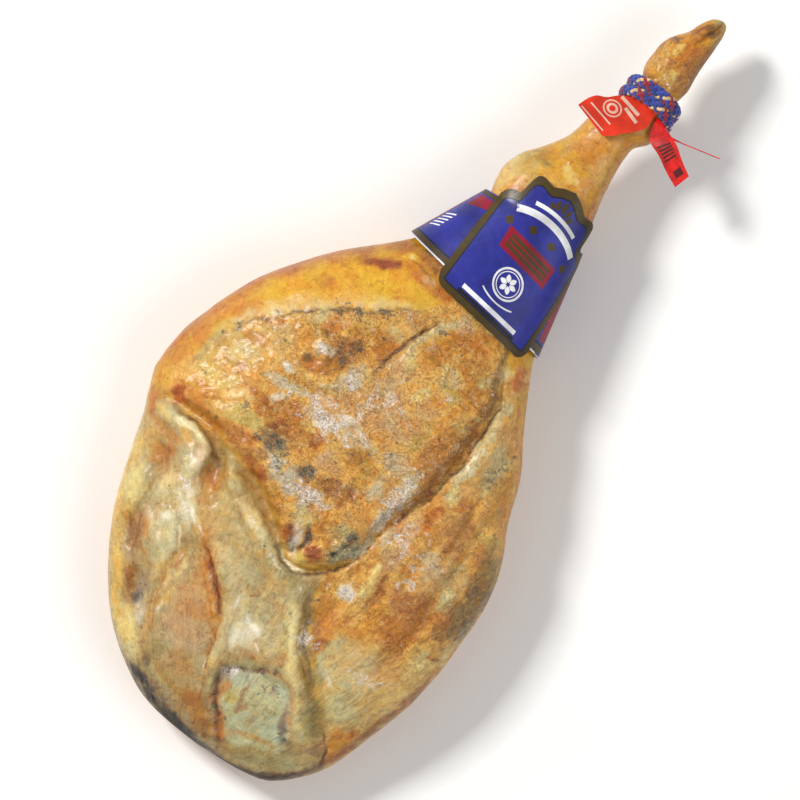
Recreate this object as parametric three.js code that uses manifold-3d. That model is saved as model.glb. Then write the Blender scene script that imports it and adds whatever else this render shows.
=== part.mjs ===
// A whole cured ham, lying on its rind with the lean side up: one leg of pork with its shank and foot, a printed
// card wrapped round the shank, a braided cord tied round the ankle, a hanging card tag and a plastic seal.
// Millimetres. The leg points along +Y and +Z is up. The origin is the middle of the flat spot that the ham rests on.
import * as THREE from "three";
import { mergeVertices } from "three/addons/utils/BufferGeometryUtils.js";
import Module from "manifold-3d";

// Driving dimensions of the ham. Each line is a list of knots [place along the leg, value], joined by a smooth curve.
const BUTT_END = -236;
const TOE_TIP = 533;
const LEFT_EDGE = [
  [BUTT_END, 56], [-230, -12], [-215, -45], [-190, -77], [-145, -112], [-100, -134], [-55, -148], [-25, -156],
  [-6, -163], [20, -170], [50, -168], [80, -159], [125, -140], [155, -119], [185, -94], [215, -62], [232, -45],
  [260, -30], [292, -14], [320, -18], [338, -14], [352, -3], [380, 15], [400, 20], [420, 31], [437, 40],
  [449, 41.5], [456, 36], [462, 34.5], [480, 35], [496, 39], [501, 45.5], [515, 52], [526, 58], [TOE_TIP, 70],
];
const RIGHT_EDGE = [
  [BUTT_END, 56], [-230, 106], [-215, 127], [-190, 146.5], [-145, 163], [-100, 176], [-55, 181], [-10, 182],
  [20, 178], [50, 168], [65, 160], [110, 144], [140, 127], [170, 111], [200, 97], [245, 86], [275, 78],
  [320, 74], [350, 68], [385, 65], [400, 67], [409, 76], [418, 76], [430, 73], [446, 73.5], [456, 76], [468, 78],
  [480, 76.5], [515, 77], [526, 76], [TOE_TIP, 70],
];
const TOP_LINE = [
  [BUTT_END, 40], [-228, 54], [-200, 73], [-150, 91], [-100, 103], [-50, 111], [0, 116], [50, 119], [100, 118],
  [150, 112], [200, 102], [250, 94], [300, 89], [340, 86], [380, 79], [410, 79], [440, 77], [470, 80],
  [500, 77], [520, 68], [TOE_TIP, 52],
];
const UNDER_LINE = [
  [BUTT_END, 36], [-228, 25], [-200, 13], [-150, 2], [-100, -3], [100, -3], [150, 2], [200, 13], [250, 23],
  [300, 29], [340, 32], [380, 39], [410, 40], [440, 42], [470, 38], [500, 38], [520, 41], [TOE_TIP, 48],
];
const RIM_SHARE = 0.46; // the widest line of a section, as a share of its thickness above its underside
const LEAN_ROUNDNESS = 2.3; // the superellipse power of the flattish lean side
const RIND_ROUNDNESS = 1.85; // the same for the rounder rind side
const RELIEF_FADE = 0.5; // the relief of the lean side dies out below this share of a section's upper height
const RELIEF_END = [185, 205]; // and along the leg it dies out here, under the card

// Relief of the lean side: paths over the plan [x, y], with a width and a height (a depth where negative).
// A lip is a step along its path: the lean on its right stands higher, and slopes back down over its reach.
const FLAP_RIGHT = [
  [72, 200], [84, 172], [93, 150], [94, 125], [92, 95], [86, 52], [76, 22], [67, -5], [62, -28], [50, -48],
];
const FLAP_LOW = [[28, -56], [6, -49], [-28, -28], [-58, -11], [-90, -4], [-130, -1], [-158, 2]];
const TENDON = [[46, -68], [53, -96], [68, -122], [90, -144], [104, -164]];
const SEAM_TO_BUTT = [[92, -205], [56, BUTT_END]];
const SEAM_FROM_TOE = [[70, TOE_TIP], [46, 400], [58, 300]];
const FLAP_LIP = { path: [...FLAP_RIGHT, ...FLAP_LOW], height: 9, edge: 9, reach: 80 };
const BONE_LIP = {
  path: [
    [112, -158], [92, -151], [70, -150], [48, -153], [30, -164], [24, -180], [30, -200], [48, -214], [66, -226],
  ],
  height: 8,
  edge: 9,
  reach: 60,
};
const HAUNCH_LIP = {
  path: [[12, -180], [-1, -148], [-14, -127], [-34, -108], [-56, -94], [-62, -112]],
  height: 6,
  edge: 9,
  reach: 60,
};
const RIDGES = [
  { path: [[12, 182], [2, 158], [-5, 136], [-10, 112]], width: 7, height: -3 }, // slit in the flap
  { path: [[92, 176], [106, 145], [110, 112], [106, 78]], width: 9, height: 4 }, // tendon beside the flap
  { path: [[143, 70], [146, 10], [144, -60], [132, -110]], width: 10, height: -4 }, // fold inside the right rim
  { path: [[-74, -22], [-45, -41], [-16, -59], [10, -76]], width: 10, height: 5 }, // fat below the flap
  { path: TENDON, width: 9, height: 6 }, // tendon between the flap and the bone
  { path: [[60, -64], [72, -94], [90, -116], [116, -142], [136, -182]], width: 9, height: -6 }, // valley beside it
  { path: [[-122, -16], [-104, -32], [-96, -57], [-80, -82], [-74, -106]], width: 11, height: 6 }, // fat at the left
  { path: [[-84, -14], [-75, -38], [-62, -58]], width: 9, height: -5 }, // fold beside it
];
// Hollows (negative) and swellings of the lean side, each an oval [across, along] round its middle.
const HUMPS = [
  { at: [-124, -46], size: [15, 20], height: -6 },
  { at: [-108, -108], size: [14, 26], height: -7 },
  { at: [-76, -158], size: [16, 26], height: -8 },
  { at: [-32, -156], size: [36, 50], height: 5 },
  { at: [25, -110], size: [38, 45], height: -3 },
  { at: [150, -168], size: [16, 26], height: -4 },
];

// The card round the shank: a cone that stands a little off the leg, between its two ends along the leg.
const CARD = 0.6; // thickness of the card
const CARD_LEFT = [[188, -74], [300, -18], [345, -24]];
const CARD_RIGHT = [[188, 104], [205, 98], [300, 80], [345, 79]];
const CARD_TOP = [[188, 111], [300, 93.5], [345, 90.5]];
const CARD_UNDER = [[188, 5], [300, 24], [345, 24]];
const BAND_LIFT = 0.4; // the band's inner face above that cone
const BAND_LOW_RIGHT = 203;
const BAND_LOW_LEFT = 232;
const BAND_HIGH = 299;
const PANEL_LIFT = 1.5; // the front panel's back face above the cone
const PANEL_X = 40; // the panel's middle line, where it starts
const PANEL_Y = 200; // and its lower edge
const PANEL_HALF = 53;
const PANEL_SLOPE = -0.16; // the lower edge falls to the right
const PANEL_LEAN = 0.05; // the middle line leans to the right
const PANEL_TOP = [
  [0, 138], [10, 134], [20, 128.5], [28, 130], [34, 127], [36.2, 118], [37.5, 107], [44, 104.5], [50, 100],
  [PANEL_HALF, 94],
];
const PANEL_BOTTOM = [[0, 0], [42, 0], [49, 3], [PANEL_HALF, 10]];

// The cord round the ankle, the tag and the seal.
const CORD_HALF_HEIGHT = 3.9; // the cord is pressed a little flat against the ankle
const CORD_HALF_WIDTH = 5;
const CORD_GAP = 2.9; // room for the tag and the seal under it
const CORD_PLACE = 438; // the middle of its turns, along the leg
const CORD_RISE = 10.3; // along the leg, in one turn
const CORD_TURNS = 2;
const CORD_TILT = 6.5; // the turns lean towards the toe on top
const KNOT_SIZE = [9, 8, 6]; // half-sizes of the knot under the ankle
const CORD_END = [17, -17, -3]; // how far each short end reaches out of the knot
const TUCK = 0.7; // the tag and the seal under the cord, above the skin
const TAG = 0.8;
const TAG_BEND = 437; // from here on the tag lifts off the leg
const TAG_HEIGHT = 79.5;
const TAG_RISE = 0.12;
const TAG_SEAT = [47, 66]; // the part of the ankle that its tucked edge rests on
const SEAL = 1.1;
const TAIL_RADIUS = 0.7;

const wasm = await Module();
wasm.setup();

const lerp = (a, b, t) => a + (b - a) * t;
const clamp = (v, low, high) => Math.min(high, Math.max(low, v));

function ease(v, low, high) {
  const t = clamp((v - low) / (high - low), 0, 1);
  return t * t * (3 - 2 * t);
}

// A smooth curve through knots [place, value] that never passes a knot's value between two knots.
function curveThrough(knots) {
  const n = knots.length;
  const step = [];
  const rise = [];
  for (let i = 0; i < n - 1; i++) {
    step.push(knots[i + 1][0] - knots[i][0]);
    rise.push((knots[i + 1][1] - knots[i][1]) / step[i]);
  }
  const slope = [rise[0]];
  for (let i = 1; i < n - 1; i++) {
    const [a, b] = [rise[i - 1], rise[i]];
    const [wa, wb] = [2 * step[i] + step[i - 1], step[i] + 2 * step[i - 1]];
    slope.push(a * b <= 0 ? 0 : (wa + wb) / (wa / a + wb / b));
  }
  slope.push(rise[n - 2]);
  return (place) => {
    const p = clamp(place, knots[0][0], knots[n - 1][0]);
    let i = 0;
    while (i < n - 2 && p > knots[i + 1][0]) i++;
    const t = (p - knots[i][0]) / step[i];
    const s = 1 - t;
    return (
      knots[i][1] * (1 + 2 * t) * s * s +
      knots[i + 1][1] * (3 - 2 * t) * t * t +
      step[i] * t * s * (slope[i] * s - slope[i + 1] * t)
    );
  };
}

// Straight lines through knots [place, value].
function linesThrough(knots) {
  return (place) => {
    let i = 0;
    while (i < knots.length - 2 && place > knots[i + 1][0]) i++;
    const [[from, a], [to, b]] = [knots[i], knots[i + 1]];
    return lerp(a, b, (place - from) / (to - from));
  };
}

// Along the leg, places are stretched near both ends, so that the ends close in a round cap.
const along = (y) => Math.acos(clamp(1 - (2 * (y - BUTT_END)) / (TOE_TIP - BUTT_END), -1, 1));
const alongLeg = (knots) => {
  const curve = curveThrough(knots.map(([y, value]) => [along(y), value]));
  return (y) => curve(along(y));
};
const legLines = [LEFT_EDGE, RIGHT_EDGE, TOP_LINE, UNDER_LINE].map(alongLeg);
const cardLines = [CARD_LEFT, CARD_RIGHT, CARD_TOP, CARD_UNDER].map(linesThrough);

// The point of a section across the leg at an angle round it, lifted off it. Angle 0 is right, a quarter turn is up.
function onSection(lines, y, angle, lift = 0) {
  const [left, right, top, under] = lines.map((line) => line(y));
  const [c, s] = [Math.cos(angle), Math.sin(angle)];
  const power = s > 0 ? LEAN_ROUNDNESS : RIND_ROUNDNESS;
  const r = (Math.abs(c) ** power + Math.abs(s) ** power) ** (-1 / power);
  const rim = lerp(under, top, RIM_SHARE);
  const height = (s > 0 ? top - rim : rim - under) + lift;
  return new THREE.Vector3((left + right) / 2 + ((right - left) / 2 + lift) * r * c, y, rim + height * r * s);
}

// The nearest place on a path: the distance, the side (positive on its right) and the share of its length.
function nearest(path, x, y) {
  let best = { distance: Infinity, side: 1, share: 0 };
  for (let i = 0; i < path.length - 1; i++) {
    const [ax, ay] = path[i];
    const [dx, dy] = [path[i + 1][0] - ax, path[i + 1][1] - ay];
    const t = clamp(((x - ax) * dx + (y - ay) * dy) / (dx * dx + dy * dy), 0, 1);
    const [ex, ey] = [x - ax - dx * t, y - ay - dy * t];
    const distance = Math.hypot(ex, ey);
    if (distance < best.distance) {
      best = { distance, side: dy * ex - dx * ey > 0 ? 1 : -1, share: (i + t) / (path.length - 1) };
    }
  }
  return best;
}

// Relief starts and ends softly along its path.
const taper = (share) => Math.sqrt(clamp(4 * share * (1 - share) * 1.6, 0, 1));

function lipHeight(lip, x, y) {
  const { distance, side, share } = nearest(lip.path, x, y);
  const inside = side > 0 ? lip.height * (1 - clamp(distance / lip.reach, 0, 1)) ** 2 : 0;
  const groove = 0.35 * lip.height * Math.exp(-((distance / (1.6 * lip.edge)) ** 2));
  return (inside * ease(distance, -1, lip.edge) - groove) * taper(share);
}

function ridgeHeight(ridge, x, y) {
  const { distance, share } = nearest(ridge.path, x, y);
  return ridge.height * Math.exp(-((distance / ridge.width) ** 2)) * taper(share);
}

function humpHeight(hump, x, y) {
  const d = Math.hypot((x - hump.at[0]) / hump.size[0], (y - hump.at[1]) / hump.size[1]);
  return hump.height * Math.exp(-d * d);
}

function relief(x, y) {
  let sum = 0;
  for (const lip of [FLAP_LIP, BONE_LIP, HAUNCH_LIP]) sum += lipHeight(lip, x, y);
  for (const ridge of RIDGES) sum += ridgeHeight(ridge, x, y);
  for (const hump of HUMPS) sum += humpHeight(hump, x, y);
  return sum * (1 - ease(y, ...RELIEF_END));
}

function geometryOf(points, faces) {
  const geometry = new THREE.BufferGeometry();
  geometry.setAttribute("position", new THREE.Float32BufferAttribute(points.flatMap((p) => [p.x, p.y, p.z]), 3));
  geometry.setIndex(faces.flat());
  geometry.computeVertexNormals();
  return geometry;
}

// Two triangles for each cell of a grid whose rows hold `across` points; the last column joins the first if `round`.
function gridFaces(rows, across, round, first = 0, flip = false) {
  const faces = [];
  for (let i = 0; i < rows - 1; i++) {
    for (let j = 0; j < (round ? across : across - 1); j++) {
      const a = first + i * across + j;
      const b = first + i * across + ((j + 1) % across);
      const [c, d] = [b + across, a + across];
      faces.push(...(flip ? [[a, c, b], [a, d, c]] : [[a, b, c], [a, c, d]]));
    }
  }
  return faces;
}

// The angle of a section at which its lean side has a given x.
function leanAngle(y, x) {
  const [left, right] = legLines.map((line) => line(y));
  const across = clamp((2 * x - left - right) / (right - left), -1, 1);
  return Math.atan2((1 - Math.abs(across) ** LEAN_ROUNDNESS) ** (1 / LEAN_ROUNDNESS), across);
}

// The line down the lean side that one column of points follows: the flap's right edge and the tendon below it.
const seam = curveThrough(
  [...SEAM_FROM_TOE, ...FLAP_RIGHT, ...TENDON, ...SEAM_TO_BUTT].toReversed().map(([x, y]) => [y, x]),
);

// The ham: rings of points round the leg, closed by a point at the butt and one at the toe.
function hamGeometry() {
  const BODY_STEP = 8.5;
  const SHANK_STEP = 11;
  const LEAN_POINTS = 40;
  const RIND_POINTS = 16;
  const SEAM_COLUMN = 13;
  const EVEN = 0.6; // how far the points of the lean side are evened out across the ham
  const CAP = [0.4, 1.6, 4, 8, 14]; // the rings crowd at both ends
  const places = CAP.map((d) => BUTT_END + d);
  const lastCap = CAP[CAP.length - 1];
  while (places[places.length - 1] < TOE_TIP - lastCap - SHANK_STEP) {
    const y = places[places.length - 1];
    places.push(y + (y < RELIEF_END[1] ? BODY_STEP : SHANK_STEP));
  }
  places.push(...CAP.toReversed().map((d) => TOE_TIP - d));
  const angles = [];
  for (let j = 0; j < LEAN_POINTS; j++) {
    angles.push(lerp((Math.PI * j) / LEAN_POINTS, Math.acos(1 - (2 * j) / LEAN_POINTS), EVEN));
  }
  for (let j = 0; j < RIND_POINTS; j++) angles.push(Math.PI * (1 + j / RIND_POINTS));
  const [left, , top, under] = legLines;
  const pole = (y) => new THREE.Vector3(left(y), y, (top(y) + under(y)) / 2);
  const points = [pole(BUTT_END)];
  for (const y of places) {
    const rim = lerp(under(y), top(y), RIM_SHARE);
    const follow = curveThrough([[0, 0], [angles[SEAM_COLUMN], leanAngle(y, seam(y))], [Math.PI, Math.PI]]);
    for (const angle of angles) {
      const p = onSection(legLines, y, angle < Math.PI ? follow(angle) : angle);
      const up = (p.z - rim) / (top(y) - rim);
      if (up > 0) p.z += relief(p.x, y) * ease(up, 0, RELIEF_FADE);
      p.z = Math.max(p.z, 0);
      points.push(p);
    }
  }
  points.push(pole(TOE_TIP));
  const around = angles.length;
  const faces = gridFaces(places.length, around, true, 1, true);
  const last = 1 + (places.length - 1) * around;
  for (let j = 0; j < around; j++) {
    const k = (j + 1) % around;
    faces.push([0, 1 + j, 1 + k], [points.length - 1, last + k, last + j]);
  }
  return geometryOf(points, faces);
}

// The band of the card: a closed ring with an inner and an outer face.
function bandGeometry() {
  const AROUND = 48;
  const SHARES = [0, 0.5, 1];
  const loop = [...SHARES.map((s) => [s, BAND_LIFT]), ...SHARES.toReversed().map((s) => [s, BAND_LIFT + CARD])];
  const points = [];
  for (const [share, lift] of [...loop, loop[0]]) {
    for (let j = 0; j < AROUND; j++) {
      const angle = (2 * Math.PI * j) / AROUND;
      const low = lerp(BAND_LOW_RIGHT, BAND_LOW_LEFT, (1 - Math.cos(angle)) / 2);
      points.push(onSection(cardLines, lerp(low, BAND_HIGH, share), angle, lift));
    }
  }
  return geometryOf(points, gridFaces(loop.length + 1, AROUND, true));
}

// The angle of a section that lies `arc` millimetres to the right of the place where its top is at x.
function angleAt(lines, y, x, arc, lift) {
  const STEP = Math.PI / 240;
  let angle = Math.PI;
  while (onSection(lines, y, angle, lift).x < x) angle -= STEP;
  let from = onSection(lines, y, angle, lift);
  const turn = arc > 0 ? -STEP : STEP;
  for (let gone = 0; gone < Math.abs(arc); ) {
    const to = onSection(lines, y, angle + turn, lift);
    const length = from.distanceTo(to);
    const part = Math.min(1, (Math.abs(arc) - gone) / length);
    gone += length;
    angle += turn * part;
    from = to;
  }
  return angle;
}

// A place on the front panel, from its own flat coordinates: across from its middle line, and up from its lower edge.
function onPanel(across, up, lift) {
  const y = PANEL_Y + up + PANEL_SLOPE * across;
  return onSection(cardLines, y, angleAt(cardLines, y, PANEL_X, across + PANEL_LEAN * up, lift), lift);
}

// A thin sheet between a back and a front surface, each given as a function of two shares from 0 to 1.
function sheetGeometry(columns, rows, back, front) {
  const points = [];
  for (const side of [back, front]) {
    for (let i = 0; i <= rows; i++) for (const share of columns) points.push(side(share, i / rows));
  }
  const across = columns.length;
  const half = (rows + 1) * across;
  const faces = [...gridFaces(rows + 1, across, false, 0, true), ...gridFaces(rows + 1, across, false, half)];
  const edge = [];
  for (let j = 0; j < across; j++) edge.push(j);
  for (let i = 1; i <= rows; i++) edge.push(i * across + across - 1);
  for (let j = across - 2; j >= 0; j--) edge.push(rows * across + j);
  for (let i = rows - 1; i > 0; i--) edge.push(i * across);
  edge.forEach((a, k) => {
    const b = edge[(k + 1) % edge.length];
    faces.push([a, b, b + half], [a, b + half, a + half]);
  });
  return geometryOf(points, faces);
}

function panelGeometry() {
  const top = curveThrough(PANEL_TOP);
  const bottom = curveThrough(PANEL_BOTTOM);
  const half = [0, 6, 12, 18, 23, 28, 32, 35, 36.5, 38, 42, 46, 50, PANEL_HALF];
  const columns = [...half.toReversed().map((d) => -d), ...half.slice(1)];
  const at = (lift) => (across, share) =>
    onPanel(across, lerp(bottom(Math.abs(across)), top(Math.abs(across)), share), lift);
  return sheetGeometry(columns, 7, at(PANEL_LIFT), at(PANEL_LIFT + CARD));
}

const solidOf = (geometry) => {
  const bare = geometry.clone();
  for (const name of ["normal", "uv"]) bare.deleteAttribute(name);
  const merged = mergeVertices(bare, 1e-4);
  return new wasm.Manifold(
    new wasm.Mesh({
      numProp: 3,
      vertProperties: new Float32Array(merged.attributes.position.array),
      triVerts: new Uint32Array(merged.index.array),
    }),
  );
};

const geometryFrom = (solid) => {
  const mesh = solid.getMesh();
  const geometry = new THREE.BufferGeometry();
  geometry.setAttribute("position", new THREE.BufferAttribute(mesh.vertProperties, 3));
  geometry.setIndex(new THREE.BufferAttribute(mesh.triVerts, 1));
  geometry.computeVertexNormals();
  return geometry;
};

// A tube with an oval section along points, with an outward direction at each; its ends are closed by points.
function tubeGeometry(points, outward, halfWidth, halfHeight, sides) {
  const all = [points[0]];
  points.forEach((p, i) => {
    const ahead = points[Math.min(i + 1, points.length - 1)].clone().sub(points[Math.max(i - 1, 0)]).normalize();
    const side = new THREE.Vector3().crossVectors(ahead, outward[i]).normalize();
    const up = new THREE.Vector3().crossVectors(side, ahead);
    for (let j = 0; j < sides; j++) {
      const angle = (2 * Math.PI * j) / sides;
      const [wide, high] = [halfWidth(i) * Math.cos(angle), halfHeight(i) * Math.sin(angle)];
      all.push(p.clone().addScaledVector(side, wide).addScaledVector(up, high));
    }
  });
  all.push(points[points.length - 1]);
  const faces = gridFaces(points.length, sides, true, 1, true);
  const last = 1 + (points.length - 1) * sides;
  for (let j = 0; j < sides; j++) {
    const k = (j + 1) % sides;
    faces.push([0, 1 + j, 1 + k], [all.length - 1, last + k, last + j]);
  }
  return geometryOf(all, faces);
}

// The cord: turns round the ankle that start and end in a knot on the underside, with its two short ends.
function cordGeometry() {
  const STEPS = 52;
  const SIDES = 8;
  const START = -Math.PI / 2;
  const lift = CORD_GAP + CORD_HALF_HEIGHT;
  const points = [];
  const outward = [];
  for (let i = 0; i <= STEPS; i++) {
    const share = i / STEPS;
    const angle = START + 2 * Math.PI * CORD_TURNS * share;
    const y = CORD_PLACE + CORD_RISE * CORD_TURNS * (share - 0.5) + CORD_TILT * Math.sin(angle);
    const p = onSection(legLines, y, angle, lift);
    points.push(p);
    outward.push(p.clone().sub(onSection(legLines, y, angle)).setY(0).normalize());
  }
  const knotAt = onSection(legLines, CORD_PLACE - CORD_TILT, START, lift + KNOT_SIZE[2] / 2);
  const knot = new THREE.SphereGeometry(1, 12, 8).scale(...KNOT_SIZE).translate(knotAt.x, knotAt.y, knotAt.z);
  const turns = tubeGeometry(points, outward, () => CORD_HALF_WIDTH, () => CORD_HALF_HEIGHT, SIDES);
  let solid = solidOf(turns).add(solidOf(knot));
  for (const way of [-1, 1]) {
    const end = [];
    for (let i = 0; i <= 4; i++) {
      const t = i / 4;
      end.push(knotAt.clone().add(new THREE.Vector3(way * CORD_END[0] * t, CORD_END[1] * t, CORD_END[2] * t * t)));
    }
    const up = end.map(() => new THREE.Vector3(0, 0, 1));
    solid = solid.add(solidOf(tubeGeometry(end, up, () => 3.9, () => 3.6, SIDES)));
  }
  return geometryFrom(solid);
}

// The height of the skin on the upper side of the leg.
function skinAt(x, y) {
  const [left, right, top, under] = legLines.map((line) => line(y));
  const rim = lerp(under, top, RIM_SHARE);
  const across = clamp(Math.abs(2 * x - left - right) / (right - left), 0, 1);
  return rim + (top - rim) * (1 - across ** LEAN_ROUNDNESS) ** (1 / LEAN_ROUNDNESS);
}

// The tag: a small card with cut corners, tucked under the cord by its top edge and bent up off the leg.
function tagGeometry() {
  const left = curveThrough([[0, 49], [0.15, 43.5], [0.32, 32.5], [0.5, 22], [0.66, 15], [0.82, 10], [1, 6]]);
  const right = curveThrough([[0, 63], [0.12, 66], [0.3, 66], [0.5, 60], [0.75, 50.5], [0.9, 46], [1, 38]]);
  const yLeft = curveThrough([[0, 440], [0.15, 435], [0.32, 430], [0.5, 421], [0.66, 418], [0.82, 412], [1, 402]]);
  const yRight = curveThrough([[0, 440], [0.12, 432], [0.3, 421], [0.5, 411], [0.75, 402], [0.9, 397], [1, 391.5]]);
  const at = (lift) => (across, share) => {
    const x = lerp(left(share), right(share), across);
    const y = lerp(yLeft(share), yRight(share), across);
    const tucked = skinAt(clamp(x, ...TAG_SEAT), y) + TUCK;
    const free = TAG_HEIGHT + TAG_RISE * (TAG_BEND - y);
    return new THREE.Vector3(x, y, lerp(tucked, free, ease(TAG_BEND - y, 0, 12)) + lift);
  };
  const columns = Array.from({ length: 7 }, (_, i) => i / 6);
  return sheetGeometry(columns, 12, at(TAG), at(0));
}

const curveAlong = (places) => new THREE.CatmullRomCurve3(places.map((place) => new THREE.Vector3(...place)));

// The seal: a flat strap that leaves the cord, twists and stands out past the ankle, with a thin tail.
function sealGeometry() {
  const upper = curveAlong([
    [80, 427.6, 71.5], [83, 425.6, 73.5], [88, 424, 75], [96, 420.5, 75.5], [107, 412.5, 74], [119, 405, 71],
  ]);
  const lower = curveAlong([
    [67, 430, 75.6], [69, 422.5, 78], [74, 411, 78], [88, 405, 73], [101, 397.5, 69], [114.5, 391, 67],
  ]);
  const columns = [0, 0.33, 0.67, 1];
  const at = (lift) => (across, share) => {
    const [a, b] = [upper.getPoint(share), lower.getPoint(share)];
    const ahead = upper.getTangent(share).add(lower.getTangent(share));
    const normal = new THREE.Vector3().crossVectors(b.clone().sub(a), ahead).normalize();
    if (normal.z < 0) normal.negate();
    const crown = 0.8 * (1 - (2 * across - 1) ** 2) * (1 - share);
    return a.lerp(b, across).addScaledVector(normal, lift + crown);
  };
  const strap = solidOf(sheetGeometry(columns, 15, at(0), at(SEAL)));
  const tail = curveAlong([
    [86, 422.5, 75.4], [93, 424, 76], [104, 426, 76], [118, 429, 75], [132.5, 432, 73.5],
  ]);
  const STEPS = 12;
  const points = tail.getPoints(STEPS);
  const up = points.map(() => new THREE.Vector3(0, 0, 1));
  const radius = (i) => lerp(2.2, TAIL_RADIUS, ease(i / STEPS, 0, 0.35));
  return geometryFrom(strap.add(solidOf(tubeGeometry(points, up, radius, () => TAIL_RADIUS, 6))));
}

// Materials: one for each sub-part.
const material = (color, roughness) => new THREE.MeshStandardMaterial({ color, roughness, metalness: 0 });

const PIECES = [
  ["ham", hamGeometry(), material(0xc8934e, 0.5)],
  ["card_band", bandGeometry(), material(0x3a3f9a, 0.45)],
  ["card_panel", panelGeometry(), material(0x3a3f9a, 0.4)],
  ["ankle_cord", cordGeometry(), material(0x2b3f96, 0.8)],
  ["tag", tagGeometry(), material(0xe23a22, 0.45)],
  ["seal", sealGeometry(), material(0xe02a1e, 0.3)],
];

const group = new THREE.Group();
for (const [name, geometry, surface] of PIECES) {
  const mesh = new THREE.Mesh(geometry, surface);
  mesh.name = name;
  group.add(mesh);
}

export default group;
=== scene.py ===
import math

import bmesh
import bpy
import numpy as np
from mathutils import Matrix, Vector


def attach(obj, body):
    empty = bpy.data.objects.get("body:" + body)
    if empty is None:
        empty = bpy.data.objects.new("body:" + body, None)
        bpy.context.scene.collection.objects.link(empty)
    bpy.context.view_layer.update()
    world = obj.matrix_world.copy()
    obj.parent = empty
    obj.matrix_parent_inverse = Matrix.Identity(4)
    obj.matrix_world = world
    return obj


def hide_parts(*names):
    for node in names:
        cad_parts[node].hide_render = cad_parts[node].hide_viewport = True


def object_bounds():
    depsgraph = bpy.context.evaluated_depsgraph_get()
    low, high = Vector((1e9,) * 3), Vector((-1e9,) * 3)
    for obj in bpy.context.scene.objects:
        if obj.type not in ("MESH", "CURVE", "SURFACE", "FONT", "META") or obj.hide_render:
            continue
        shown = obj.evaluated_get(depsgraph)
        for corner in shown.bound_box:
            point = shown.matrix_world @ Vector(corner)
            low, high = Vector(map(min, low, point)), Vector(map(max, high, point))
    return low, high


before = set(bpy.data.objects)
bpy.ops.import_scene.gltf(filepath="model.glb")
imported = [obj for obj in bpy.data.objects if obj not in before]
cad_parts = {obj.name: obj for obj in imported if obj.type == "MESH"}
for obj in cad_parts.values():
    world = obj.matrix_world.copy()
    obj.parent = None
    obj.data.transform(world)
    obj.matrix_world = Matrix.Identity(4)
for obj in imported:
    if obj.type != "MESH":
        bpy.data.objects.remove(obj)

MM = 0.001

# The camera looks straight down on the ham, from far away, turned so that the leg points to the upper right.
LOOK_AT = (20.9, 107.4)
TURN = math.radians(34)
CAMERA_HEIGHT = 6000.0
RIM_HEIGHT = 54.0
FRAME_WIDTH = 688.0
SENSOR = 36.0

# Sections of the leg and of the card cone, as in the solids: knots (place along the leg, value).
RIM_SHARE = 0.46
LEAN_ROUNDNESS = 2.3
RIND_ROUNDNESS = 1.85
CARD_LEFT = [(188, -74), (300, -18), (345, -24)]
CARD_RIGHT = [(188, 104), (205, 98), (300, 80), (345, 79)]
CARD_TOP = [(188, 111), (300, 93.5), (345, 90.5)]
CARD_UNDER = [(188, 5), (300, 24), (345, 24)]
CARD = 0.6
BAND_LIFT = 0.4
BAND_LOW_RIGHT = 203
BAND_LOW_LEFT = 232
BAND_HIGH = 299
PANEL_LIFT = 1.5
PANEL_X = 40
PANEL_Y = 200
PANEL_HALF = 53
PANEL_SLOPE = -0.16
PANEL_LEAN = 0.05
PANEL_TOP = [
    (0, 138), (10, 134), (20, 128.5), (28, 130), (34, 127), (36.2, 118), (37.5, 107), (44, 104.5), (50, 100),
    (PANEL_HALF, 94),
]
PANEL_BOTTOM = [(0, 0), (42, 0), (49, 3), (PANEL_HALF, 10)]
BODY_END = 258  # here the body's mesh ends and the shank's starts, hidden under the card
FIBRE_ROOT = (56, -300)

# Lines over the lean side, in plan.
FLAP_RIGHT = [
    (72, 200), (84, 172), (93, 150), (95, 125), (93, 95), (91, 70), (86, 46), (76, 24), (69, 4), (67, -15),
    (62, -32), (50, -47),
]
FLAP_LOW = [
    (38, -54), (28, -58), (14, -57), (4, -50), (-6, -39), (-20, -28), (-36, -18), (-58, -11), (-90, -4),
    (-130, -1), (-158, 2),
]
FLAP = FLAP_RIGHT + FLAP_LOW
RIND_LINE = [
    (-163, -2), (-148, 10), (-146, 30), (-139, 64), (-121, 93), (-96, 119), (-62, 144), (-30, 164), (-2, 184),
    (14, 205),
]
TENDON = [(44, -88), (53, -106), (66, -126), (80, -145), (94, -163), (110, -182)]
VALLEY = [(50, -60), (55, -82), (65, -102), (82, -126), (102, -147), (122, -168), (138, -192)]
BUTT = [
    (-170, -6), (-158, 1), (-130, -2), (-90, -5), (-58, -13), (-36, -20), (-6, -41), (14, -59), (28, -60),
    (50, -50), (54, -80), (62, -108), (84, -134), (112, -158), (134, -180), (152, -200), (100, -260),
    (-60, -260), (-190, -120),
]
SLIT = [(12, 182), (2, 158), (-5, 136), (-10, 112)]
BONE_LINE = [
    (106, -186), (94, -168), (82, -150), (70, -143), (58, -147), (46, -156), (32, -161), (24, -168),
    (26, -184), (34, -198), (46, -210), (60, -228),
]


def linear(seen):
    """Colours as seen, from 0 to 255, as the linear numbers that a shader takes."""
    share = np.asarray(seen, float) / 255
    return np.where(share > 0.04, ((share + 0.055) / 1.055) ** 2.4, share / 12.92)


def srgb(r, g, b):
    """A colour as seen, from 0 to 255, for a shader's socket."""
    return (*linear((r, g, b)), 1.0)


def lerp(a, b, t):
    """The value at share t of the way from a to b."""
    return a + (b - a) * t


def ease(v, low, high):
    """0 below low, 1 above high, and a smooth step between them."""
    t = np.clip((v - low) / (high - low), 0, 1)
    return t * t * (3 - 2 * t)


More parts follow.
